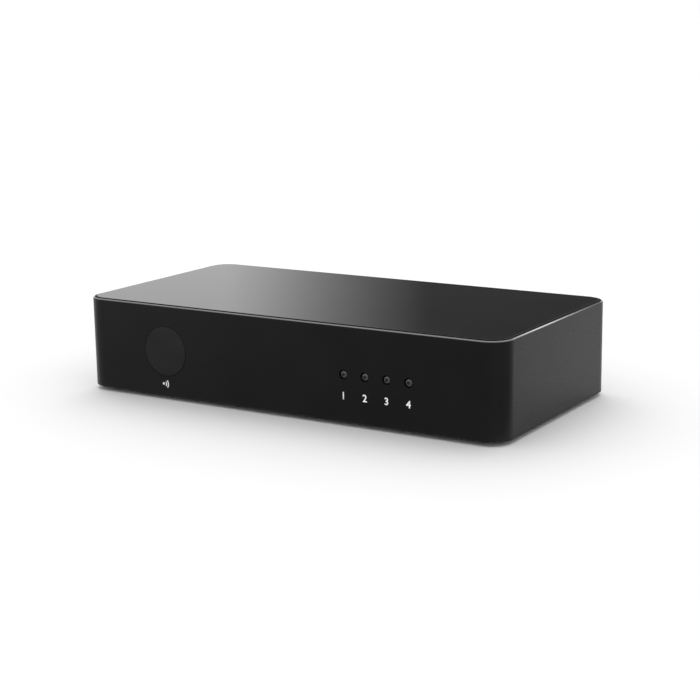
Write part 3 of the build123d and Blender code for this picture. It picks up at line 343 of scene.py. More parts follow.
def anodised_wall():
    tree, black = surface("wall_metal")
    grain = grains(tree, WALL_GRAIN, detail=4)
    patches = grains(tree, WALL_PATCH, detail=3)
    tool_marks = grains(tree, TOOL_MARK, stretch=TOOL_MARK_STRETCH)
    black_looks = {
        "Base Color": shades(tree, patches, *ANODISED_COLOURS),
        "Roughness": between(tree, grain, *ANODISED_ROUGHNESS),
        "Normal": relief(tree, grain, WALL_GRAIN_DEPTH),
        "Specular IOR Level": ANODISED_GLOSS,
    }
    bright_looks = {
        "Metallic": 1.0,
        "Base Color": shades(tree, tool_marks, *CUT_COLOURS),
        "Roughness": between(tree, tool_marks, *CUT_ROUGHNESS),
    }
    matt_and_shaded_rim_looks = {
        "Base Color": shades(tree, patches, *RIM_SHADE_COLOURS),
        "Roughness": between(tree, grain, *RIM_ROUGHNESS),
        "Specular IOR Level": RIM_GLOSS,
    }
    fill(tree, black, black_looks)
    bright = add(tree, "ShaderNodeBsdfPrincipled", bright_looks)
    matt_and_shaded_rim = add(tree, "ShaderNodeBsdfPrincipled", matt_and_shaded_rim_looks)
    walls_and_cut = mixed(tree, cut_edge_mask(tree), black, bright)
    # The rim flat gets a duller finish and a darker colour, which is painted shade.
    show(tree, mixed(tree, rim_flat_mask(tree), walls_and_cut, matt_and_shaded_rim))


anodised_wall()
print("wall finish made")

# %% [markdown]
# The top plate is a sheet of black acrylic with a mirror-like face. What shows in it is the room,
# so the finish itself is simple: almost black, very smooth, with the faint smears of a wiping
# cloth in its gloss. The remote window is the same family of plastic, tinted and a little duller.

# %% Glossy plastics
SMEAR_SIZE = 9 * MM
SMEAR_STRETCH = (0.35, 1, 1)
SMEAR_SHARES = (0.8, 1.2)
WAVE_SIZE = 30 * MM


def glossy(name, colour, roughness, smear, wave, gloss=0.5):
    """Smooth plastic: smears raise its roughness by an amount, and a slow wave has a depth."""
    tree, shader = surface(name)
    wiped = grains(tree, SMEAR_SIZE, detail=6, stretch=SMEAR_STRETCH)
    looks = {
        "Base Color": shades(tree, wiped, *tints(colour, SMEAR_SHARES)),
        "Roughness": between(tree, wiped, roughness, roughness + smear),
        "Normal": relief(tree, grains(tree, WAVE_SIZE), wave),
        "Specular IOR Level": gloss,
    }
    fill(tree, shader, looks)


glossy("plate_gloss", (0.006, 0.006, 0.0065), roughness=0.045, smear=0.02, wave=0.002 * MM)
glossy("window_dark", (0.0125, 0.0118, 0.0125), roughness=0.3, smear=0.06, wave=0.004 * MM, gloss=0.3)
print("glossy finishes made")

# %% [markdown]
# Frosting scatters light just under the surface, so a little of it passes and the rest comes back
# as a soft grey. Down the middle of a light pipe one looks into the dark box behind it; that
# darkness is painted into the tip's colour as painted shade, darkest at the middle. The pipes carry
# it as an attribute, 1 at the middle of a tip and 0 elsewhere.

# %% Clear pieces
FROST_SIZE = 0.5 * MM
FROST_DEPTH = 0.01 * MM
FROST_SHARES = (0.82, 1.0)
CORE_SHADE_START = 0.35
CORE_SHADE_END = 0.9
ACRYLIC_IOR = 1.49


def frosted(name, colour, passing, roughness, core_shade_colour=None):
    """Clear plastic that lets a share of the light pass, with painted shade at its core if a shade colour is
    given.
    """
    tree, shader = surface(name)
    cloud = grains(tree, FROST_SIZE, detail=4)
    if core_shade_colour:
        painted_core_shade = add(tree, "ShaderNodeAttribute", attribute_name="painted_core_shade").outputs["Fac"]
        tone = shades(tree, painted_core_shade, colour, core_shade_colour, CORE_SHADE_START, CORE_SHADE_END)
    else:
        tone = shades(tree, cloud, *tints(colour, FROST_SHARES))
    looks = {
        "Base Color": tone,
        "Roughness": around(tree, cloud, roughness, ROUGHNESS_SPREAD),
        "Normal": relief(tree, cloud, FROST_DEPTH),
        "Transmission Weight": passing,
        "IOR": ACRYLIC_IOR,
    }
    fill(tree, shader, looks)


# The dark middle of each tip is painted shade: the dark box behind, as seen through the clear pipe.
CORE_SHADE_COLOUR = (0.013, 0.013, 0.0135)
frosted("light_clear", (0.105, 0.107, 0.11), passing=0.1, roughness=0.14, core_shade_colour=CORE_SHADE_COLOUR)
frosted("lamp_clear", (0.5, 0.56, 0.2), passing=0.3, roughness=0.2)
print("clear finishes made")

# %% [markdown]
# A circuit board is glass cloth under green lacquer. Copper tracks lie under the lacquer and make
# it paler and raised, and plated holes shine through it. Bricks with thin joints stand in for
# tracks: their joints run straight, turn square corners and keep their distance, as tracks do.

# %% Circuit board
TRACK_CELL = 2.6 * MM
TRACK_SHARE = 0.12
TRACK_HEIGHT = 0.03 * MM
HOLE_CELL = 3.1 * MM
HOLE_SHARE = 0.13
LACQUER_COLOURS = ((0.004, 0.045, 0.02), (0.012, 0.1, 0.04))
LACQUER_CLOUD = 1.5 * MM
LACQUER_ROUGHNESS = (0.32, 0.44)
LACQUER_COAT = 0.3
HOLE_TIN = {"Base Color": (0.7, 0.66, 0.5, 1), "Metallic": 1.0, "Roughness": 0.3}


def lacquered_board():
    tree, shader = surface("board_green")
    place = on_piece(tree)
    bricks = {"Vector": place, "Scale": 1 / TRACK_CELL, "Mortar Size": TRACK_SHARE}
    tracks = add(tree, "ShaderNodeTexBrick", bricks).outputs["Fac"]
    holes = add(tree, "ShaderNodeTexVoronoi", {"Vector": place, "Scale": 1 / HOLE_CELL})
    hole_mask = maths(tree, "LESS_THAN", holes.outputs["Distance"], HOLE_SHARE)
    looks = {
        "Base Color": shades(tree, tracks, *LACQUER_COLOURS, start=0.0, end=1.0),
        "Roughness": between(tree, grains(tree, LACQUER_CLOUD), *LACQUER_ROUGHNESS),
        "Normal": relief(tree, tracks, TRACK_HEIGHT),
        "Coat Weight": LACQUER_COAT,
    }
    fill(tree, shader, looks)
    tin = add(tree, "ShaderNodeBsdfPrincipled", HOLE_TIN)
    show(tree, mixed(tree, hole_mask, shader, tin))


lacquered_board()
print("board finish made")

# %% [markdown]
# A chip is black resin with tinned leads. Both are one solid here, and what tells them apart is
# height: the leads lie at the board and the resin starts just above them.

# %% Chips
LEAD_THICKNESS = 0.26 * MM
CHIP_GRAIN = 0.2 * MM
CHIP_GRAIN_DEPTH = 0.015 * MM
RESIN_COLOURS = ((0.016, 0.016, 0.017), (0.026, 0.026, 0.027))
RESIN_ROUGHNESS = (0.48, 0.62)
LEAD_COLOURS = ((0.5, 0.5, 0.49), (0.66, 0.66, 0.64))
LEAD_ROUGHNESS = (0.24, 0.38)
board_low, board_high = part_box("main_board")


def resin_with_leads(lead_top):
    tree, resin = surface("chip_black")
    grain = grains(tree, CHIP_GRAIN)
    resin_looks = {
        "Base Color": shades(tree, grain, *RESIN_COLOURS),
        "Roughness": between(tree, grain, *RESIN_ROUGHNESS),
        "Normal": relief(tree, grain, CHIP_GRAIN_DEPTH),
    }
    tin_looks = {
        "Metallic": 1.0,
        "Base Color": shades(tree, grain, *LEAD_COLOURS),
        "Roughness": between(tree, grain, *LEAD_ROUGHNESS),
    }
    fill(tree, resin, resin_looks)
    tin = add(tree, "ShaderNodeBsdfPrincipled", tin_looks)
    at_leads = maths(tree, "LESS_THAN", upward(tree, "Object"), lead_top)
    show(tree, mixed(tree, at_leads, resin, tin))


resin_with_leads(board_high.z + LEAD_THICKNESS)
print("chip finish made, leads up to", round((board_high.z + LEAD_THICKNESS) / MM, 2), "mm")

# %% [markdown]
# A flexible antenna is a pattern of copper under amber film. A wave that is nearly square in its
# colour gives lines about 2 mm apart. The small lights and the printing ink are plain white
# plastics, so the function for mouldings makes them too.

# %% Antennas, small lights and ink
ANTENNA_WAVE = 160.0
ANTENNA_COLOURS = ((0.2, 0.07, 0.008), (0.62, 0.3, 0.1))
LINE_EDGE = (0.45, 0.55)
LINE_HEIGHT = 0.02 * MM
FILM_CLOUD = 1 * MM
FILM_ROUGHNESS = (0.22, 0.34)
FILM_COAT = 0.5


def amber_film():
    tree, shader = surface("antenna_film")
    waves = {"Vector": on_piece(tree), "Scale": ANTENNA_WAVE, "Distortion": 0.0}
    lines = add(tree, "ShaderNodeTexWave", waves).outputs["Fac"]
    looks = {
        "Base Color": shades(tree, lines, *ANTENNA_COLOURS, *LINE_EDGE),
        "Roughness": between(tree, grains(tree, FILM_CLOUD), *FILM_ROUGHNESS),
        "Normal": relief(tree, lines, LINE_HEIGHT),
        "Coat Weight": FILM_COAT,
    }
    fill(tree, shader, looks)


amber_film()
moulded("led_white", (0.8, 0.79, 0.7), 0.25, coat=0.3)
moulded("print_white", (0.95, 0.95, 0.95), 0.5, depth=0.002 * MM)
print(len(finishes), "finishes in all")

# %% [markdown]
# The record names the finish of every solid, by the slot that its material fills. The materials
# above carry the same names, so one loop dresses the whole model.

# %% Dress the solids
for subpart in frame["record"]["subparts"]:
    for slot in nodes[subpart["node"]].material_slots:
        slot.material = finishes[subpart["material_slot"]]

# %% [markdown]
# A rolled edge or a dome is a chain of narrow flats. Soft shading shows them round: sharp edges
# stay sharp, and each corner's normal leans to the largest face beside it, so that wide flat
# faces stay flat. A piece grown by modifiers is turned into a plain mesh in the same step.

# %% Helpers for plain, softly shaded meshes
SOFT_ANGLE = math.radians(40)


def plain_mesh(piece):
    """Turns a piece with its modifiers into one plain mesh."""
    graph = bpy.context.evaluated_depsgraph_get()
    mesh = bpy.data.meshes.new_from_object(piece.evaluated_get(graph), depsgraph=graph)
    piece.modifiers.clear()
    piece.data = mesh


def shade_softly(piece, angle=SOFT_ANGLE):
    piece.data.shade_smooth()
    piece.data.set_sharp_from_angle(angle=angle)
    weighted = piece.modifiers.new("weighted", "WEIGHTED_NORMAL")
    weighted.keep_sharp = True
    plain_mesh(piece)


# %% [markdown]
# Geometry Nodes build shapes by rule. Each tree here has named sizes as its inputs, ends by making
# its copies real and giving them their material, and is then turned into a plain mesh. These
# helpers set up such a tree, copy a piece in a row, and grow the finished piece.

# %% Helpers for Geometry Nodes
FLOAT = "NodeSocketFloat"
VECTOR = "NodeSocketVector"
WHOLE = "NodeSocketInt"
GEOMETRY = "NodeSocketGeometry"
ROW_SIZES = {"First": VECTOR, "Step": VECTOR, "Count": WHOLE}


def growing_tree(name, sizes):
    """An empty tree with a named input for each size."""
    tree = bpy.data.node_groups.new(name, "GeometryNodeTree")
    for label, kind in sizes.items():
        tree.interface.new_socket(label, in_out="INPUT", socket_type=kind)
    tree.interface.new_socket("Geometry", in_out="OUTPUT", socket_type=GEOMETRY)
    return tree, tree.nodes.new("NodeGroupInput").outputs


def joined(tree, *parts):
    together = tree.nodes.new("GeometryNodeJoinGeometry")
    for part in parts:
        tree.links.new(part, together.inputs[0])
    return together.outputs[0]


def moved(tree, geometry, **sockets):
    return add(tree, "GeometryNodeTransform", {"Geometry": geometry, **sockets}).outputs[0]


def vector(tree, x=0.0, y=0.0, z=0.0):
    return add(tree, "ShaderNodeCombineXYZ", {"X": x, "Y": y, "Z": z}).outputs[0]


def row_of(tree, piece, size):
    """Copies of a piece in a straight row, set by the sizes First, Step and Count."""
    line = {"Count": size["Count"], "Start Location": size["First"], "Offset": size["Step"]}
    points = add(tree, "GeometryNodeMeshLine", line).outputs[0]
    return add(tree, "GeometryNodeInstanceOnPoints", {"Points": points, "Instance": piece}).outputs[0]


def end_tree(tree, geometry, finish):
    """Makes the copies real, gives them their finish and closes the tree."""
    real = add(tree, "GeometryNodeRealizeInstances", {0: geometry}).outputs[0]
    painted = add(tree, "GeometryNodeSetMaterial", {0: real, "Material": finishes[finish]})
    tree.links.new(painted.outputs[0], tree.nodes.new("NodeGroupOutput").inputs[0])
    print(tree.name, "is a rule of", len(tree.nodes), "nodes")
    return tree


def grow(name, tree, sizes, mesh=None):
    """A plain mesh grown from a tree with these sizes."""
    piece = new_object(name, mesh or bpy.data.meshes.new(name))
    modifier = piece.modifiers.new("grow", "NODES")
    modifier.node_group = tree
    for socket in tree.interface.items_tree:
        if socket.in_out == "INPUT" and socket.name in sizes:
            modifier[socket.identifier] = sizes[socket.name]
    plain_mesh(piece)
    print(name, "has", len(piece.data.polygons), "faces")
    return piece


# %% [markdown]
# The top plate follows a rule: a rounded rectangle, thickened and then closed from below. The
# solid has a plain bevel on its upper edge. A real acrylic plate is polished to a very small
# radius, which meets the wall in a dark line, so this one is grown and its edges finely rolled.

# %% Rule for the top plate
MERGE_DISTANCE = 0.0005 * MM
PLATE_CORNER_STEPS = 16


def plate_tree():
    sizes = {"Width": FLOAT, "Depth": FLOAT, "Thickness": FLOAT, "Corner": FLOAT, "Middle": VECTOR}
    tree, size = growing_tree("rounded_plate", sizes)
    sides = {"Width": size["Width"], "Height": size["Depth"]}
    outline = add(tree, "GeometryNodeCurvePrimitiveQuadrilateral", sides)
    corners = {"Curve": outline.outputs[0], "Count": PLATE_CORNER_STEPS, "Radius": size["Corner"]}
    rounded = add(tree, "GeometryNodeFilletCurve", corners, mode="POLY")
    face = add(tree, "GeometryNodeFillCurve", {"Curve": rounded.outputs[0]}, mode="NGONS").outputs[0]
    thickness = {"Mesh": face, "Offset Scale": size["Thickness"], "Individual": False}
    solid = add(tree, "GeometryNodeExtrudeMesh", thickness)
    under = add(tree, "GeometryNodeFlipFaces", {"Mesh": face}).outputs[0]
    whole = {"Geometry": joined(tree, solid.outputs[0], under), "Distance": MERGE_DISTANCE}
    closed = add(tree, "GeometryNodeMergeByDistance", whole)
    placed = moved(tree, closed.outputs[0], Translation=size["Middle"])
    return end_tree(tree, placed, "plate_gloss")


plate_rule = plate_tree()

# %% Top plate
WALL_CORNER = 7.3 * MM
RIM_AND_GAP = 1.32 * MM
PLATE_EDGE = 0.06 * MM
EDGE_SEGMENTS = 4
EDGE_ANGLE = math.radians(60)


def roll_edge(piece, radius):
    bevel = piece.modifiers.new("edge", "BEVEL")
    bevel.width = radius
    bevel.segments = EDGE_SEGMENTS
    bevel.limit_method = "ANGLE"
    bevel.angle_limit = EDGE_ANGLE
    plain_mesh(piece)


plate_low, plate_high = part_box("top_plate")
plate_middle = (plate_low + plate_high) / 2
top_plate = grow(
    "acrylic_plate",
    plate_rule,
    {
        "Width": plate_high.x - plate_low.x,
        "Depth": plate_high.y - plate_low.y,
        "Thickness": plate_high.z - plate_low.z,
        "Corner": WALL_CORNER - RIM_AND_GAP,
        "Middle": (plate_middle.x, plate_middle.y, plate_low.z),
    },
)
roll_edge(top_plate, PLATE_EDGE)
shade_softly(top_plate)
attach(top_plate, "housing")
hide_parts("top_plate")

# %% [markdown]
# The remote window is a turned disc, so its section is drawn once and spun. Its face is flat and
# its edge has a small radius. It looks a touch lighter than the wall, because its plastic is a
# little paler and mirrors a little more.

# %% Turned disc
TURNED_STEPS = 96
ROLLED_STEPS = 4
INNER_RING = 0.5


def turned_disc(name, radius, front, back, edge, finish):
    """A disc whose axis runs along Y, with a rolled front edge and a ring part of the way out."""
    section = [(0.0, front), (radius * INNER_RING, front)]
    for step in range(ROLLED_STEPS + 1):
        angle = math.radians(90 * step / ROLLED_STEPS)
        section.append((radius - edge + edge * math.sin(angle), front + edge - edge * math.cos(angle)))
    section += [(radius, back), (0.0, back)]
    work = bmesh.new()
    points = [work.verts.new((across, along, 0)) for across, along in section]
    edges = [work.edges.new(pair) for pair in zip(points, points[1:])]
    turn = {"cent": (0, 0, 0), "axis": (0, 1, 0), "angle": math.tau, "steps": TURNED_STEPS}
    bmesh.ops.spin(work, geom=points + edges, **turn)
    bmesh.ops.remove_doubles(work, verts=work.verts, dist=MERGE_DISTANCE)
    bmesh.ops.recalc_face_normals(work, faces=work.faces)
    mesh = bpy.data.meshes.new(name)
    work.to_mesh(mesh)
    work.free()
    mesh.materials.append(finishes[finish])
    print(name, "has", len(mesh.polygons), "faces")
    return new_object(name, mesh)


# %% Remote window
WINDOW_EDGE = 0.18 * MM
WINDOW_SOFT_ANGLE = math.radians(50)

window_low, window_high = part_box("ir_window")
window_middle = (window_low + window_high) / 2
window_radius = (window_high.x - window_low.x) / 2
remote_window = turned_disc(
    "remote_window", window_radius, window_low.y, window_high.y, WINDOW_EDGE, "window_dark"
)
remote_window.data.transform(Matrix.Translation((window_middle.x, 0, window_middle.z)))
shade_softly(remote_window, WINDOW_SOFT_ANGLE)
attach(remote_window, "housing")
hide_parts("ir_window")
print("window", round(2 * window_radius / MM, 2), "mm across")

# %% [markdown]
# The four light pipes are alike and stand in a row, so one is grown and copied by rule. Each has a
# domed tip, a round neck in the wall, a square flange behind it and a square shank to its light.
# The solids end flat. The dome stands on that end and just passes the face of the wall: it is the
# neck's end cap, sunk to a ball's curve by the distance of each point from the axis.

# %% Rule for the light pipes
PIPE_SIDES = 40
TIP_RINGS = 6
TIP_START = 0.99


def domed_neck(tree, size):
    """A round neck along Z whose upper end is a dome, with its middle marked for painted shade."""
    round_bar = {"Radius": size["Radius"], "Depth": size["Neck"], "Vertices": PIPE_SIDES}
    round_bar.update({"Side Segments": 1, "Fill Segments": TIP_RINGS})
    bar = add(tree, "GeometryNodeMeshCylinder", round_bar).outputs[0]
    neck = moved(tree, bar, Translation=vector(tree, z=maths(tree, "MULTIPLY", size["Neck"], 0.5)))
    place = add(tree, "ShaderNodeSeparateXYZ", {0: add(tree, "GeometryNodeInputPosition").outputs[0]}).outputs
    across = maths(tree, "ADD", maths(tree, "POWER", place["X"], 2.0), maths(tree, "POWER", place["Y"], 2.0))
    share = maths(tree, "DIVIDE", across, maths(tree, "POWER", size["Radius"], 2.0))
    inner = maths(tree, "SUBTRACT", maths(tree, "POWER", size["Ball"], 2.0), across)
    drop = maths(tree, "SUBTRACT", maths(tree, "SQRT", inner), size["Ball"])
    at_tip = maths(tree, "GREATER_THAN", place["Z"], maths(tree, "MULTIPLY", size["Neck"], TIP_START))
    # The painted shade is strongest at the middle of a tip and gone at its rim.
    core_shade_share = maths(tree, "SUBTRACT", 1.0, share)
    painted_core_shade = {"Geometry": neck, "Selection": at_tip, "Name": "painted_core_shade", "Value": core_shade_share}
    marked = add(tree, "GeometryNodeStoreNamedAttribute", painted_core_shade, data_type="FLOAT", domain="POINT")
    lowered = {"Geometry": marked.outputs[0], "Selection": at_tip, "Offset": vector(tree, z=drop)}
    return add(tree, "GeometryNodeSetPosition", lowered).outputs[0]


def square_bar(tree, width, length, top):
    """A bar of square section along Z, from a height downwards."""
    bar = add(tree, "GeometryNodeMeshCube", {"Size": vector(tree, width, width, length)}).outputs[0]
    middle = maths(tree, "SUBTRACT", maths(tree, "MULTIPLY", length, -0.5), top)
    return moved(tree, bar, Translation=vector(tree, z=middle))


def light_pipe_tree():
    sizes = {"Radius": FLOAT, "Neck": FLOAT, "Ball": FLOAT, "Flange": FLOAT, "Flange thickness": FLOAT}
    sizes.update({"Shank": FLOAT, "Shank length": FLOAT, **ROW_SIZES})
    tree, size = growing_tree("light_pipes", sizes)
    neck = domed_neck(tree, size)
    flange = square_bar(tree, size["Flange"], size["Flange thickness"], 0.0)
    shank = square_bar(tree, size["Shank"], size["Shank length"], size["Flange thickness"])
    pipe = moved(tree, joined(tree, neck, flange, shank), Rotation=(math.radians(90), 0, 0))
    return end_tree(tree, row_of(tree, pipe, size), "light_clear")


light_pipe_rule = light_pipe_tree()

# %% Light pipes
LIGHT_COUNT = 4
PIPE_RADIUS = 1.1 * MM
FLANGE_THICKNESS = 0.8 * MM
SHANK_WIDTH = 2.2 * MM
DOME_RISE = 0.5 * MM
WALL_THICKNESS = 2.4 * MM

pipe_boxes = [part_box(f"light_pipe_{number}") for number in range(1, LIGHT_COUNT + 1)]
pipe_places = [(low + high) / 2 for low, high in pipe_boxes]
pipe_low, pipe_high = pipe_boxes[0]
led_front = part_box("source_led_1")[0].y
flange_front = wall_low.y + WALL_THICKNESS
light_pipes = grow(
    "light_pipes",
    light_pipe_rule,
    {
        "Radius": PIPE_RADIUS,
        "Neck": flange_front - pipe_low.y + DOME_RISE,
        "Ball": (PIPE_RADIUS**2 + DOME_RISE**2) / (2 * DOME_RISE),
        "Flange": pipe_high.x - pipe_low.x,
        "Flange thickness": FLANGE_THICKNESS,
        "Shank": SHANK_WIDTH,
        "Shank length": led_front - flange_front - FLANGE_THICKNESS,
        "First": (pipe_places[0].x, flange_front, pipe_places[0].z),
        "Step": (pipe_places[1].x - pipe_places[0].x, 0.0, 0.0),
        "Count": LIGHT_COUNT,
    },
)
shade_softly(light_pipes)
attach(light_pipes, "housing")
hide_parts(*[f"light_pipe_{number}" for number in range(1, LIGHT_COUNT + 1)])
print("the domes pass the wall by", round((wall_low.y - pipe_low.y + DOME_RISE) / MM, 2), "mm")

# %% [markdown]
# Under each light stands its number, screen-printed in thick white ink. Type in Blender is a flat
# curve. It is turned into a mesh first, fitted to the height of the printing, and then stood up
# against the wall, two hundredths of a millimetre proud, as ink is.

# %% Helpers for printing
INK_THICKNESS = 0.02 * MM
TYPE_BOLDNESS = 0.02
TYPE_RESOLUTION = 6
UPRIGHT = Matrix.Rotation(math.radians(90), 4, "X")


def printed(name, words, height, place):
    """Printing that stands against the front wall, with its middle at a place."""
    curve = bpy.data.curves.new(name, "FONT")
    curve.body = words
    curve.offset = TYPE_BOLDNESS
    curve.resolution_u = TYPE_RESOLUTION
    flat = new_object(name, curve)
    graph = bpy.context.evaluated_depsgraph_get()
    mesh = bpy.data.meshes.new_from_object(flat.evaluated_get(graph), depsgraph=graph)
    bpy.data.objects.remove(flat)
    corners = [vertex.co.copy() for vertex in mesh.vertices]
    low = Vector([min(corner[axis] for corner in corners) for axis in range(3)])
    high = Vector([max(corner[axis] for corner in corners) for axis in range(3)])
    size = height / (high.y - low.y)
    mesh.transform(Matrix.Translation(-(low + high) / 2))
    mesh.transform(Matrix.Translation(place) @ UPRIGHT @ Matrix.Scale(size, 4))
    return mesh


def inked(name, meshes):
    """One piece of printing from flat meshes, with the thickness of its ink."""
    work = bmesh.new()
    for mesh in meshes:
        work.from_mesh(mesh)
    ink = bpy.data.meshes.new(name)
    work.to_mesh(ink)
    work.free()
    ink.materials.clear()
    ink.materials.append(finishes["print_white"])
    piece = new_object(name, ink)
    thick = piece.modifiers.new("ink", "SOLIDIFY")
    thick.thickness = INK_THICKNESS
    thick.offset = -1.0
    plain_mesh(piece)
    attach(piece, "housing")
    print(name, "has", len(piece.data.polygons), "faces")


# %% Printed numbers
NUMBER_HEIGHT = 2.4 * MM
NUMBER_LEVEL = 8.5 * MM

ink_face = wall_low.y - INK_THICKNESS
numbers = [
    printed("number", str(count), NUMBER_HEIGHT, Vector((place.x, ink_face, wall_low.z + NUMBER_LEVEL)))
    for count, place in enumerate(pipe_places, start=1)
]
inked("printed_numbers", numbers)
print("numbers 1 to", len(numbers), "printed")

# %% [markdown]
# Below the remote window is a plain mark for a remote signal: a dot and two arcs. Each arc is a
# strip between two radii, worked out by angle, so its width stays even.

# %% Printed signal mark
MARK_SHIFT = 1.15 * MM
MARK_LEVEL = 4.1 * MM
MARK_PLACE = Vector((window_middle.x - MARK_SHIFT, ink_face, wall_low.z + MARK_LEVEL))
DOT_RADIUS = 0.42 * MM
DOT_SIDES = 24
ARC_RADII = (1.15 * MM, 1.95 * MM)
ARC_WIDTH = 0.4 * MM
ARC_SWEEP = math.radians(76)
ARC_STEPS = 16


def arc_strip(work, inner, outer, start, end):
    rails = []
    for step in range(ARC_STEPS + 1):
        angle = start + (end - start) * step / ARC_STEPS
        rails.append([work.verts.new((r * math.cos(angle), r * math.sin(angle), 0)) for r in (inner, outer)])
    for first, second in zip(rails, rails[1:]):
        work.faces.new((first[0], first[1], second[1], second[0]))


def signal_mark():
    work = bmesh.new()
    bmesh.ops.create_circle(work, cap_ends=True, segments=DOT_SIDES, radius=DOT_RADIUS)
    for radius in ARC_RADII:
        arc_strip(work, radius - ARC_WIDTH / 2, radius + ARC_WIDTH / 2, -ARC_SWEEP / 2, ARC_SWEEP / 2)
    bmesh.ops.recalc_face_normals(work, faces=work.faces)
    mesh = bpy.data.meshes.new("signal_mark")
    work.to_mesh(mesh)
    work.free()
    mesh.transform(Matrix.Translation(MARK_PLACE) @ UPRIGHT)
    return mesh


inked("printed_mark", [signal_mark()])

# %% [markdown]
# Two countersunk screws hold the cover at its rear corners. Their cross recess is what a solid
# leaves out. A cone and a shank are joined by rule, two crossed bars are cut out of the head, and
# the screw is copied to both places.

# %% Rule for the cover screws
SCREW_SIDES = 48


def screw_tree():
    sizes = {"Head radius": FLOAT, "Shank radius": FLOAT, "Length": FLOAT, "Recess": VECTOR}
    tree, size = growing_tree("crossed_screws", {**sizes, **ROW_SIZES})
    head_depth = maths(tree, "SUBTRACT", size["Head radius"], size["Shank radius"])
    cone = {"Vertices": SCREW_SIDES, "Depth": head_depth}
    cone.update({"Radius Top": size["Shank radius"], "Radius Bottom": size["Head radius"]})
    head = add(tree, "GeometryNodeMeshCone", cone)
    length = maths(tree, "SUBTRACT", size["Length"], head_depth)
    round_bar = {"Vertices": SCREW_SIDES, "Radius": size["Shank radius"], "Depth": length}
    shank = add(tree, "GeometryNodeMeshCylinder", round_bar).outputs[0]
    shank_middle = maths(tree, "ADD", head_depth, maths(tree, "MULTIPLY", length, 0.5))
    shank = moved(tree, shank, Translation=vector(tree, z=shank_middle))
    bar = add(tree, "GeometryNodeMeshCube", {"Size": size["Recess"]}).outputs[0]
    crossed = moved(tree, bar, Rotation=(0, 0, math.radians(90)))
    cut = tree.nodes.new("GeometryNodeMeshBoolean")
    cut.operation = "DIFFERENCE"
    tree.links.new(head.outputs[0], cut.inputs["Mesh 1"])
    tree.links.new(bar, cut.inputs["Mesh 2"])
    tree.links.new(crossed, cut.inputs["Mesh 2"])
    screw = joined(tree, cut.outputs[0], shank)
    return end_tree(tree, row_of(tree, screw, size), "screw_black")


screw_rule = screw_tree()

# %% Cover screws
SCREW_COUNT = 2
SCREW_HEAD_RADIUS = 2.75 * MM
SCREW_SHANK_RADIUS = 1.45 * MM
RECESS_LENGTH = 3.1 * MM
RECESS_WIDTH = 0.75 * MM
RECESS_DEPTH = 1.1 * MM
SCREW_SOFT_ANGLE = math.radians(30)

screw_low, screw_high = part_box("cover_screws")
first_screw = Vector((screw_low.x + SCREW_HEAD_RADIUS, (screw_low.y + screw_high.y) / 2, screw_low.z))
cover_screws = grow(
    "crossed_screws",
    screw_rule,
    {
        "Head radius": SCREW_HEAD_RADIUS,
        "Shank radius": SCREW_SHANK_RADIUS,
        "Length": screw_high.z - screw_low.z,
        "Recess": (RECESS_LENGTH, RECESS_WIDTH, 2 * RECESS_DEPTH),
        "First": first_screw[:],
        "Step": (screw_high.x - screw_low.x - 2 * SCREW_HEAD_RADIUS, 0.0, 0.0),
        "Count": SCREW_COUNT,
    },
)
shade_softly(cover_screws, SCREW_SOFT_ANGLE)
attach(cover_screws, "housing")
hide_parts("cover_screws")

# %% [markdown]
# Through the vents one sees the underside of the main board, where the sockets, the switch, the
# pin header and the capacitors are soldered. A joint is a small dome of tin. The places are rows
# of points under those parts, and one tree puts a dome on each, no two of quite the same size.

# %% Rule for the solder joints
JOINT_SEGMENTS = 16
JOINT_RINGS = 8
JOINT_FLATNESS = 0.8
JOINT_SMALLEST = 0.85
JOINT_LARGEST = 1.15


def joint_tree():
    tree, size = growing_tree("solder_joints", {"Geometry": GEOMETRY, "Radius": FLOAT, "Seed": WHOLE})
    ball = {"Segments": JOINT_SEGMENTS, "Rings": JOINT_RINGS, "Radius": size["Radius"]}
    dome = add(tree, "GeometryNodeMeshUVSphere", ball)
    flat = moved(tree, dome.outputs[0], Scale=(1.0, 1.0, JOINT_FLATNESS))
    spread = add(tree, "FunctionNodeRandomValue", {"Seed": size["Seed"]}, data_type="FLOAT")
    spread.inputs[2].default_value = JOINT_SMALLEST
    spread.inputs[3].default_value = JOINT_LARGEST
    places = {"Points": size["Geometry"], "Instance": flat, "Scale": spread.outputs[1]}
    copies = add(tree, "GeometryNodeInstanceOnPoints", places)
    return end_tree(tree, copies.outputs[0], "solder")


joint_rule = joint_tree()

# %% Solder joints
JOINT_RADIUS = 0.75 * MM
JOINT_SINK = 0.12 * MM
JOINT_SEED = 7
JOINT_REACH = 0.7
JOINT_SOFT_ANGLE = math.radians(60)
JOINT_COUNTS = {
    "dc_jack_body": 3,
    "aux_jack": 4,
    "line_out_block": 6,
    "pair_switch": 3,
    "usb_shell": 4,
    "lan_insert": 8,
    "front_header_block": 8,
    "supply_capacitors": 4,
    "output_capacitors": 4,
}


def joint_row(name, count):
    """Evenly spaced places under a solid, over a share of its width."""
    low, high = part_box(name)
    centre = (low + high) / 2
    reach = (high.x - low.x) * JOINT_REACH / 2
    return [
        (centre.x - reach + 2 * reach * step / (count - 1), centre.y, board_low.z + JOINT_SINK)
        for step in range(count)
    ]


joint_points = bpy.data.meshes.new("joint_points")
joint_places = [place for name, count in JOINT_COUNTS.items() for place in joint_row(name, count)]
joint_points.from_pydata(joint_places, [], [])
joints = grow("solder_joints", joint_rule, {"Radius": JOINT_RADIUS, "Seed": JOINT_SEED}, joint_points)
shade_softly(joints, JOINT_SOFT_ANGLE)
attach(joints, "housing")

# %% [markdown]
# The floor is pale, plain and large enough to fill the view. It is nearly dead matt, so the lamp
# leaves no bright patch on it and only the box's own soft shadow shows.

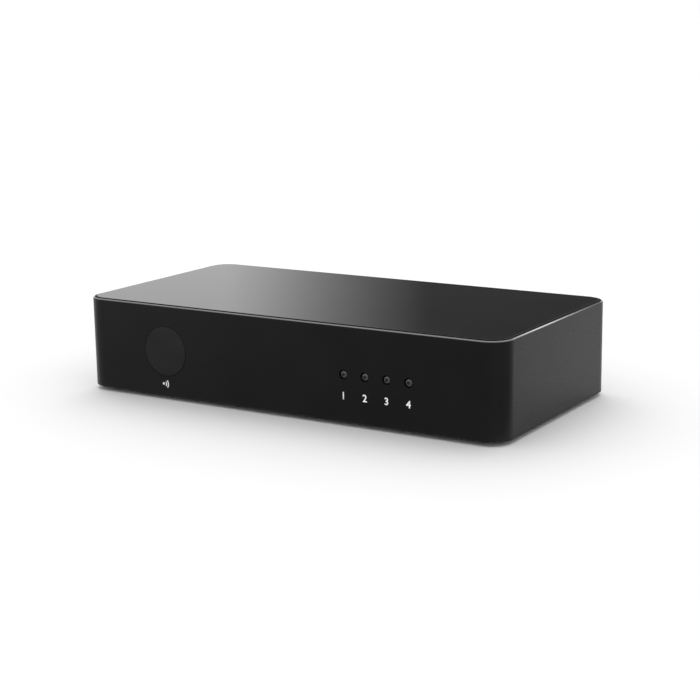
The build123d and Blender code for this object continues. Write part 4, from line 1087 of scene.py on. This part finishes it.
# %% Floor
FLOOR_SIZE = 16.0
FLOOR_COLOUR = (0.86, 0.86, 0.86)
FLOOR_SHARES = (0.99, 1.0)
FLOOR_CLOUD = 400 * MM
FLOOR_ROUGHNESS = 0.9
FLOOR_GLOSS = 0.1


def floor_finish():
    tree, shader = surface("studio_floor")
    looks = {
        "Base Color": shades(tree, grains(tree, FLOOR_CLOUD), *tints(FLOOR_COLOUR, FLOOR_SHARES)),
        "Roughness": FLOOR_ROUGHNESS,
        "Specular IOR Level": FLOOR_GLOSS,
    }
    fill(tree, shader, looks)


def sheet(name, width, height, material):
    """A flat rectangle that lies about the origin."""
    half_width, half_height = width / 2, height / 2
    corners = [(-half_width, -half_height, 0), (half_width, -half_height, 0)]
    corners += [(half_width, half_height, 0), (-half_width, half_height, 0)]
    mesh = bpy.data.meshes.new(name)
    mesh.from_pydata(corners, [], [(0, 1, 2, 3)])
    mesh.materials.append(material)
    return new_object(name, mesh)


floor_finish()
floor = sheet("floor", FLOOR_SIZE, FLOOR_SIZE, finishes["studio_floor"])
print("floor", FLOOR_SIZE, "m wide")

# %% [markdown]
# What makes a dark object look glossy or satin is what it mirrors. A photographer hangs pale and
# dark cards round it. The cards here glow in tones that change along their width. They show in
# reflections alone: the camera doesn't see them, and they cast no light or shadow on the floor.

# %% Helpers for cards


def glowing(name, width, tones, strength=1.0):
    """A card's finish: a glow with tones set at shares of its width, blended smoothly."""
    material = bpy.data.materials.new(name)
    material.use_nodes = True
    tree = material.node_tree
    tree.nodes.clear()
    across = add(tree, "ShaderNodeSeparateXYZ", {0: on_piece(tree)}).outputs["X"]
    ramp = add(tree, "ShaderNodeValToRGB", {"Fac": between(tree, across, 0.0, 1.0, -width / 2, width / 2)})
    ramp.color_ramp.interpolation = "B_SPLINE"
    stops = ramp.color_ramp.elements
    for share, tone in tones:
        stops.new(share).color = (tone, tone, tone, 1)
    stops[0].color = stops[1].color[:]
    stops[len(stops) - 1].color = stops[len(stops) - 2].color[:]
    glow = add(tree, "ShaderNodeEmission", {"Color": ramp.outputs["Color"], "Strength": strength})
    out = add(tree, "ShaderNodeOutputMaterial")
    tree.links.new(glow.outputs[0], out.inputs["Surface"])
    return material


def only_reflected(card):
    """Keeps a card out of the picture, and its light off everything that is not glossy."""
    card.visible_camera = False
    card.visible_diffuse = False
    card.visible_shadow = False
    card.visible_transmission = False


# %% [markdown]
# The glossy top shows only what stands behind it, so a pale card hangs there: bright on the left,
# dark on the right, with a smooth change. Its tones are set against the angle, in degrees, at which
# each part of the card stands behind the box.

# %% Reflected card
CARD_DISTANCE = 2.5
CARD_AZIMUTH = math.radians(33)
CARD_SIZE = (1.9, 0.8)
CARD_MIDDLE_HEIGHT = 0.55
CARD_TONES = (
    (28.4, 0.072), (29.4, 0.135), (30.7, 0.215), (32.0, 0.325),
    (33.4, 0.46), (35.1, 0.7), (36.7, 0.92), (37.5, 1.0),
)

card_shares = [
    (0.5 - CARD_DISTANCE * math.tan(math.radians(degrees) - CARD_AZIMUTH) / CARD_SIZE[0], tone)
    for degrees, tone in reversed(CARD_TONES)
]
card = sheet("reflected_card", *CARD_SIZE, glowing("studio_card", CARD_SIZE[0], card_shares))
card_place = Vector((-math.sin(CARD_AZIMUTH), math.cos(CARD_AZIMUTH), 0)) * CARD_DISTANCE
card.matrix_world = (
    Matrix.Translation(card_place + Vector((0, 0, CARD_MIDDLE_HEIGHT)))
    @ Matrix.Rotation(CARD_AZIMUTH, 4, "Z")
    @ UPRIGHT
)
only_reflected(card)
print("card", CARD_DISTANCE, "m behind the box")

# %% [markdown]
# The black front has to stay black although it stands on a white floor. A dark card does that. It
# rises from the foot of the box towards the camera, and is a little paler on the left, where the
# wall in the photograph is a little paler too.

# %% Dark card in front
FLAG_SIZE = (2.4, 1.2)
FLAG_RISE = math.radians(30)
FLAG_GAP = Vector((0, -2, 1)) * MM
FLAG_TONES = ((0.0, 0.75), (0.3, 0.6), (0.46, 0.42), (0.5, 0.2), (0.54, 0.08), (1.0, 0.05))

flag = sheet("front_flag", *FLAG_SIZE, glowing("studio_flag", FLAG_SIZE[0], FLAG_TONES))
flag.matrix_world = (
    Matrix.Translation(Vector((0, wall_low.y, 0)) + FLAG_GAP)
    @ Matrix.Rotation(-FLAG_RISE, 4, "X")
    @ Matrix.Translation((0, -FLAG_SIZE[1] / 2, 0))
)
only_reflected(flag)
print("dark card rises", round(FLAG_SIZE[1] * math.sin(FLAG_RISE), 2), "m towards the camera")

# %% [markdown]
# The front stays dark until just round its right corner and then turns grey within a few
# millimetres. A second dark card does that. Its foot starts at the corner and runs outwards and back.

# %% Dark card at the corner
CORNER_FLAG_SIZE = (1.2, 1.2)
CORNER_FLAG_TURN = math.radians(56)
CORNER_FLAG_TONES = ((0.0, 0.05), (1.0, 0.06))
CORNER_FLAG_GAP = Vector((2, -2, 1)) * MM

corner_finish = glowing("studio_corner_flag", CORNER_FLAG_SIZE[0], CORNER_FLAG_TONES)
corner_flag = sheet("corner_flag", *CORNER_FLAG_SIZE, corner_finish)
corner_flag.matrix_world = (
    Matrix.Translation(Vector((wall_high.x, wall_low.y, 0)) + CORNER_FLAG_GAP)
    @ Matrix.Rotation(CORNER_FLAG_TURN, 4, "Z")
    @ Matrix.Rotation(-FLAG_RISE, 4, "X")
    @ Matrix.Translation((CORNER_FLAG_SIZE[0] / 2, -CORNER_FLAG_SIZE[1] / 2, 0))
)
only_reflected(corner_flag)
print("corner card turned back", round(math.degrees(CORNER_FLAG_TURN)), "degrees")

# %% [markdown]
# The bright cut along the right side flares up near its front third and fades towards the back. A
# card behind the box makes that, as a strip lamp would. It lies where the cut mirrors it to the
# camera. The line's front looks higher up on it than its back, so the tones run upwards and are
# set against the height, as an angle in degrees, at which each part of the card stands.

# %% Strip card behind
STRIP_DISTANCE = 2.5
STRIP_AZIMUTH = math.radians(12.5)
STRIP_ELEVATION = math.radians(32.0)
STRIP_SIZE = (1.1, 1.1)
STRIP_STRENGTH = 4.0
STRIP_TONES = (
    (21.0, 0.06), (22.3, 0.08), (22.9, 0.14), (23.3, 0.23), (23.7, 0.36), (24.1, 0.62), (24.5, 0.95),
    (24.8, 0.8), (25.1, 0.42), (25.6, 0.3), (27.0, 0.29), (29.0, 0.27), (31.0, 0.25), (43.0, 0.25),
)

strip_shares = [
    (0.5 + STRIP_DISTANCE * math.tan(math.radians(degrees) - STRIP_ELEVATION) / STRIP_SIZE[0], tone)
    for degrees, tone in STRIP_TONES
]
strip_finish = glowing("studio_strip", STRIP_SIZE[0], strip_shares, STRIP_STRENGTH)
strip = sheet("strip_card", *STRIP_SIZE, strip_finish)
cut_middle = Vector((wall_high.x, 0, wall_high.z))
to_strip = direction(math.pi - STRIP_AZIMUTH, STRIP_ELEVATION)
strip_side = to_strip.cross(Vector((0, 0, 1))).normalized()
strip_axes = Matrix((strip_side.cross(to_strip), strip_side, to_strip)).transposed().to_4x4()
strip.matrix_world = Matrix.Translation(cut_middle + to_strip * STRIP_DISTANCE) @ strip_axes
only_reflected(strip)
print("strip card", round(STRIP_SIZE[0] / MM), "by", round(STRIP_SIZE[1] / MM), "mm")

# %% [markdown]
# The light is soft and comes from all round, with a wide lamp overhead, behind the box to its left.

# %% Light
LAMP_STRENGTH = 0.9
LAMP_SPREAD = math.radians(60)
LAMP_PLACE = Vector((-0.6, 0.9, 1.2))
ROOM_COLOUR = (1.0, 1.0, 1.0, 1)
ROOM_BRIGHTNESS = 1.0


def soft_lamp(name, strength, spread, place):
    """A very wide lamp, so far away that it lights the whole floor evenly."""
    lamp = new_object(name, bpy.data.lights.new(name, "SUN"))
    lamp.data.energy = strength
    lamp.data.angle = spread
    lamp.rotation_euler = (-place).to_track_quat("-Z", "Y").to_euler()


soft_lamp("overhead_lamp", LAMP_STRENGTH, LAMP_SPREAD, LAMP_PLACE)
world = bpy.data.worlds.new("room")
world.use_nodes = True
room = world.node_tree.nodes["Background"]
fill(world.node_tree, room, {"Color": ROOM_COLOUR, "Strength": ROOM_BRIGHTNESS})
scene.world = world
scene.view_settings.view_transform = "Standard"
print("lit by the room and one wide lamp of strength", LAMP_STRENGTH)
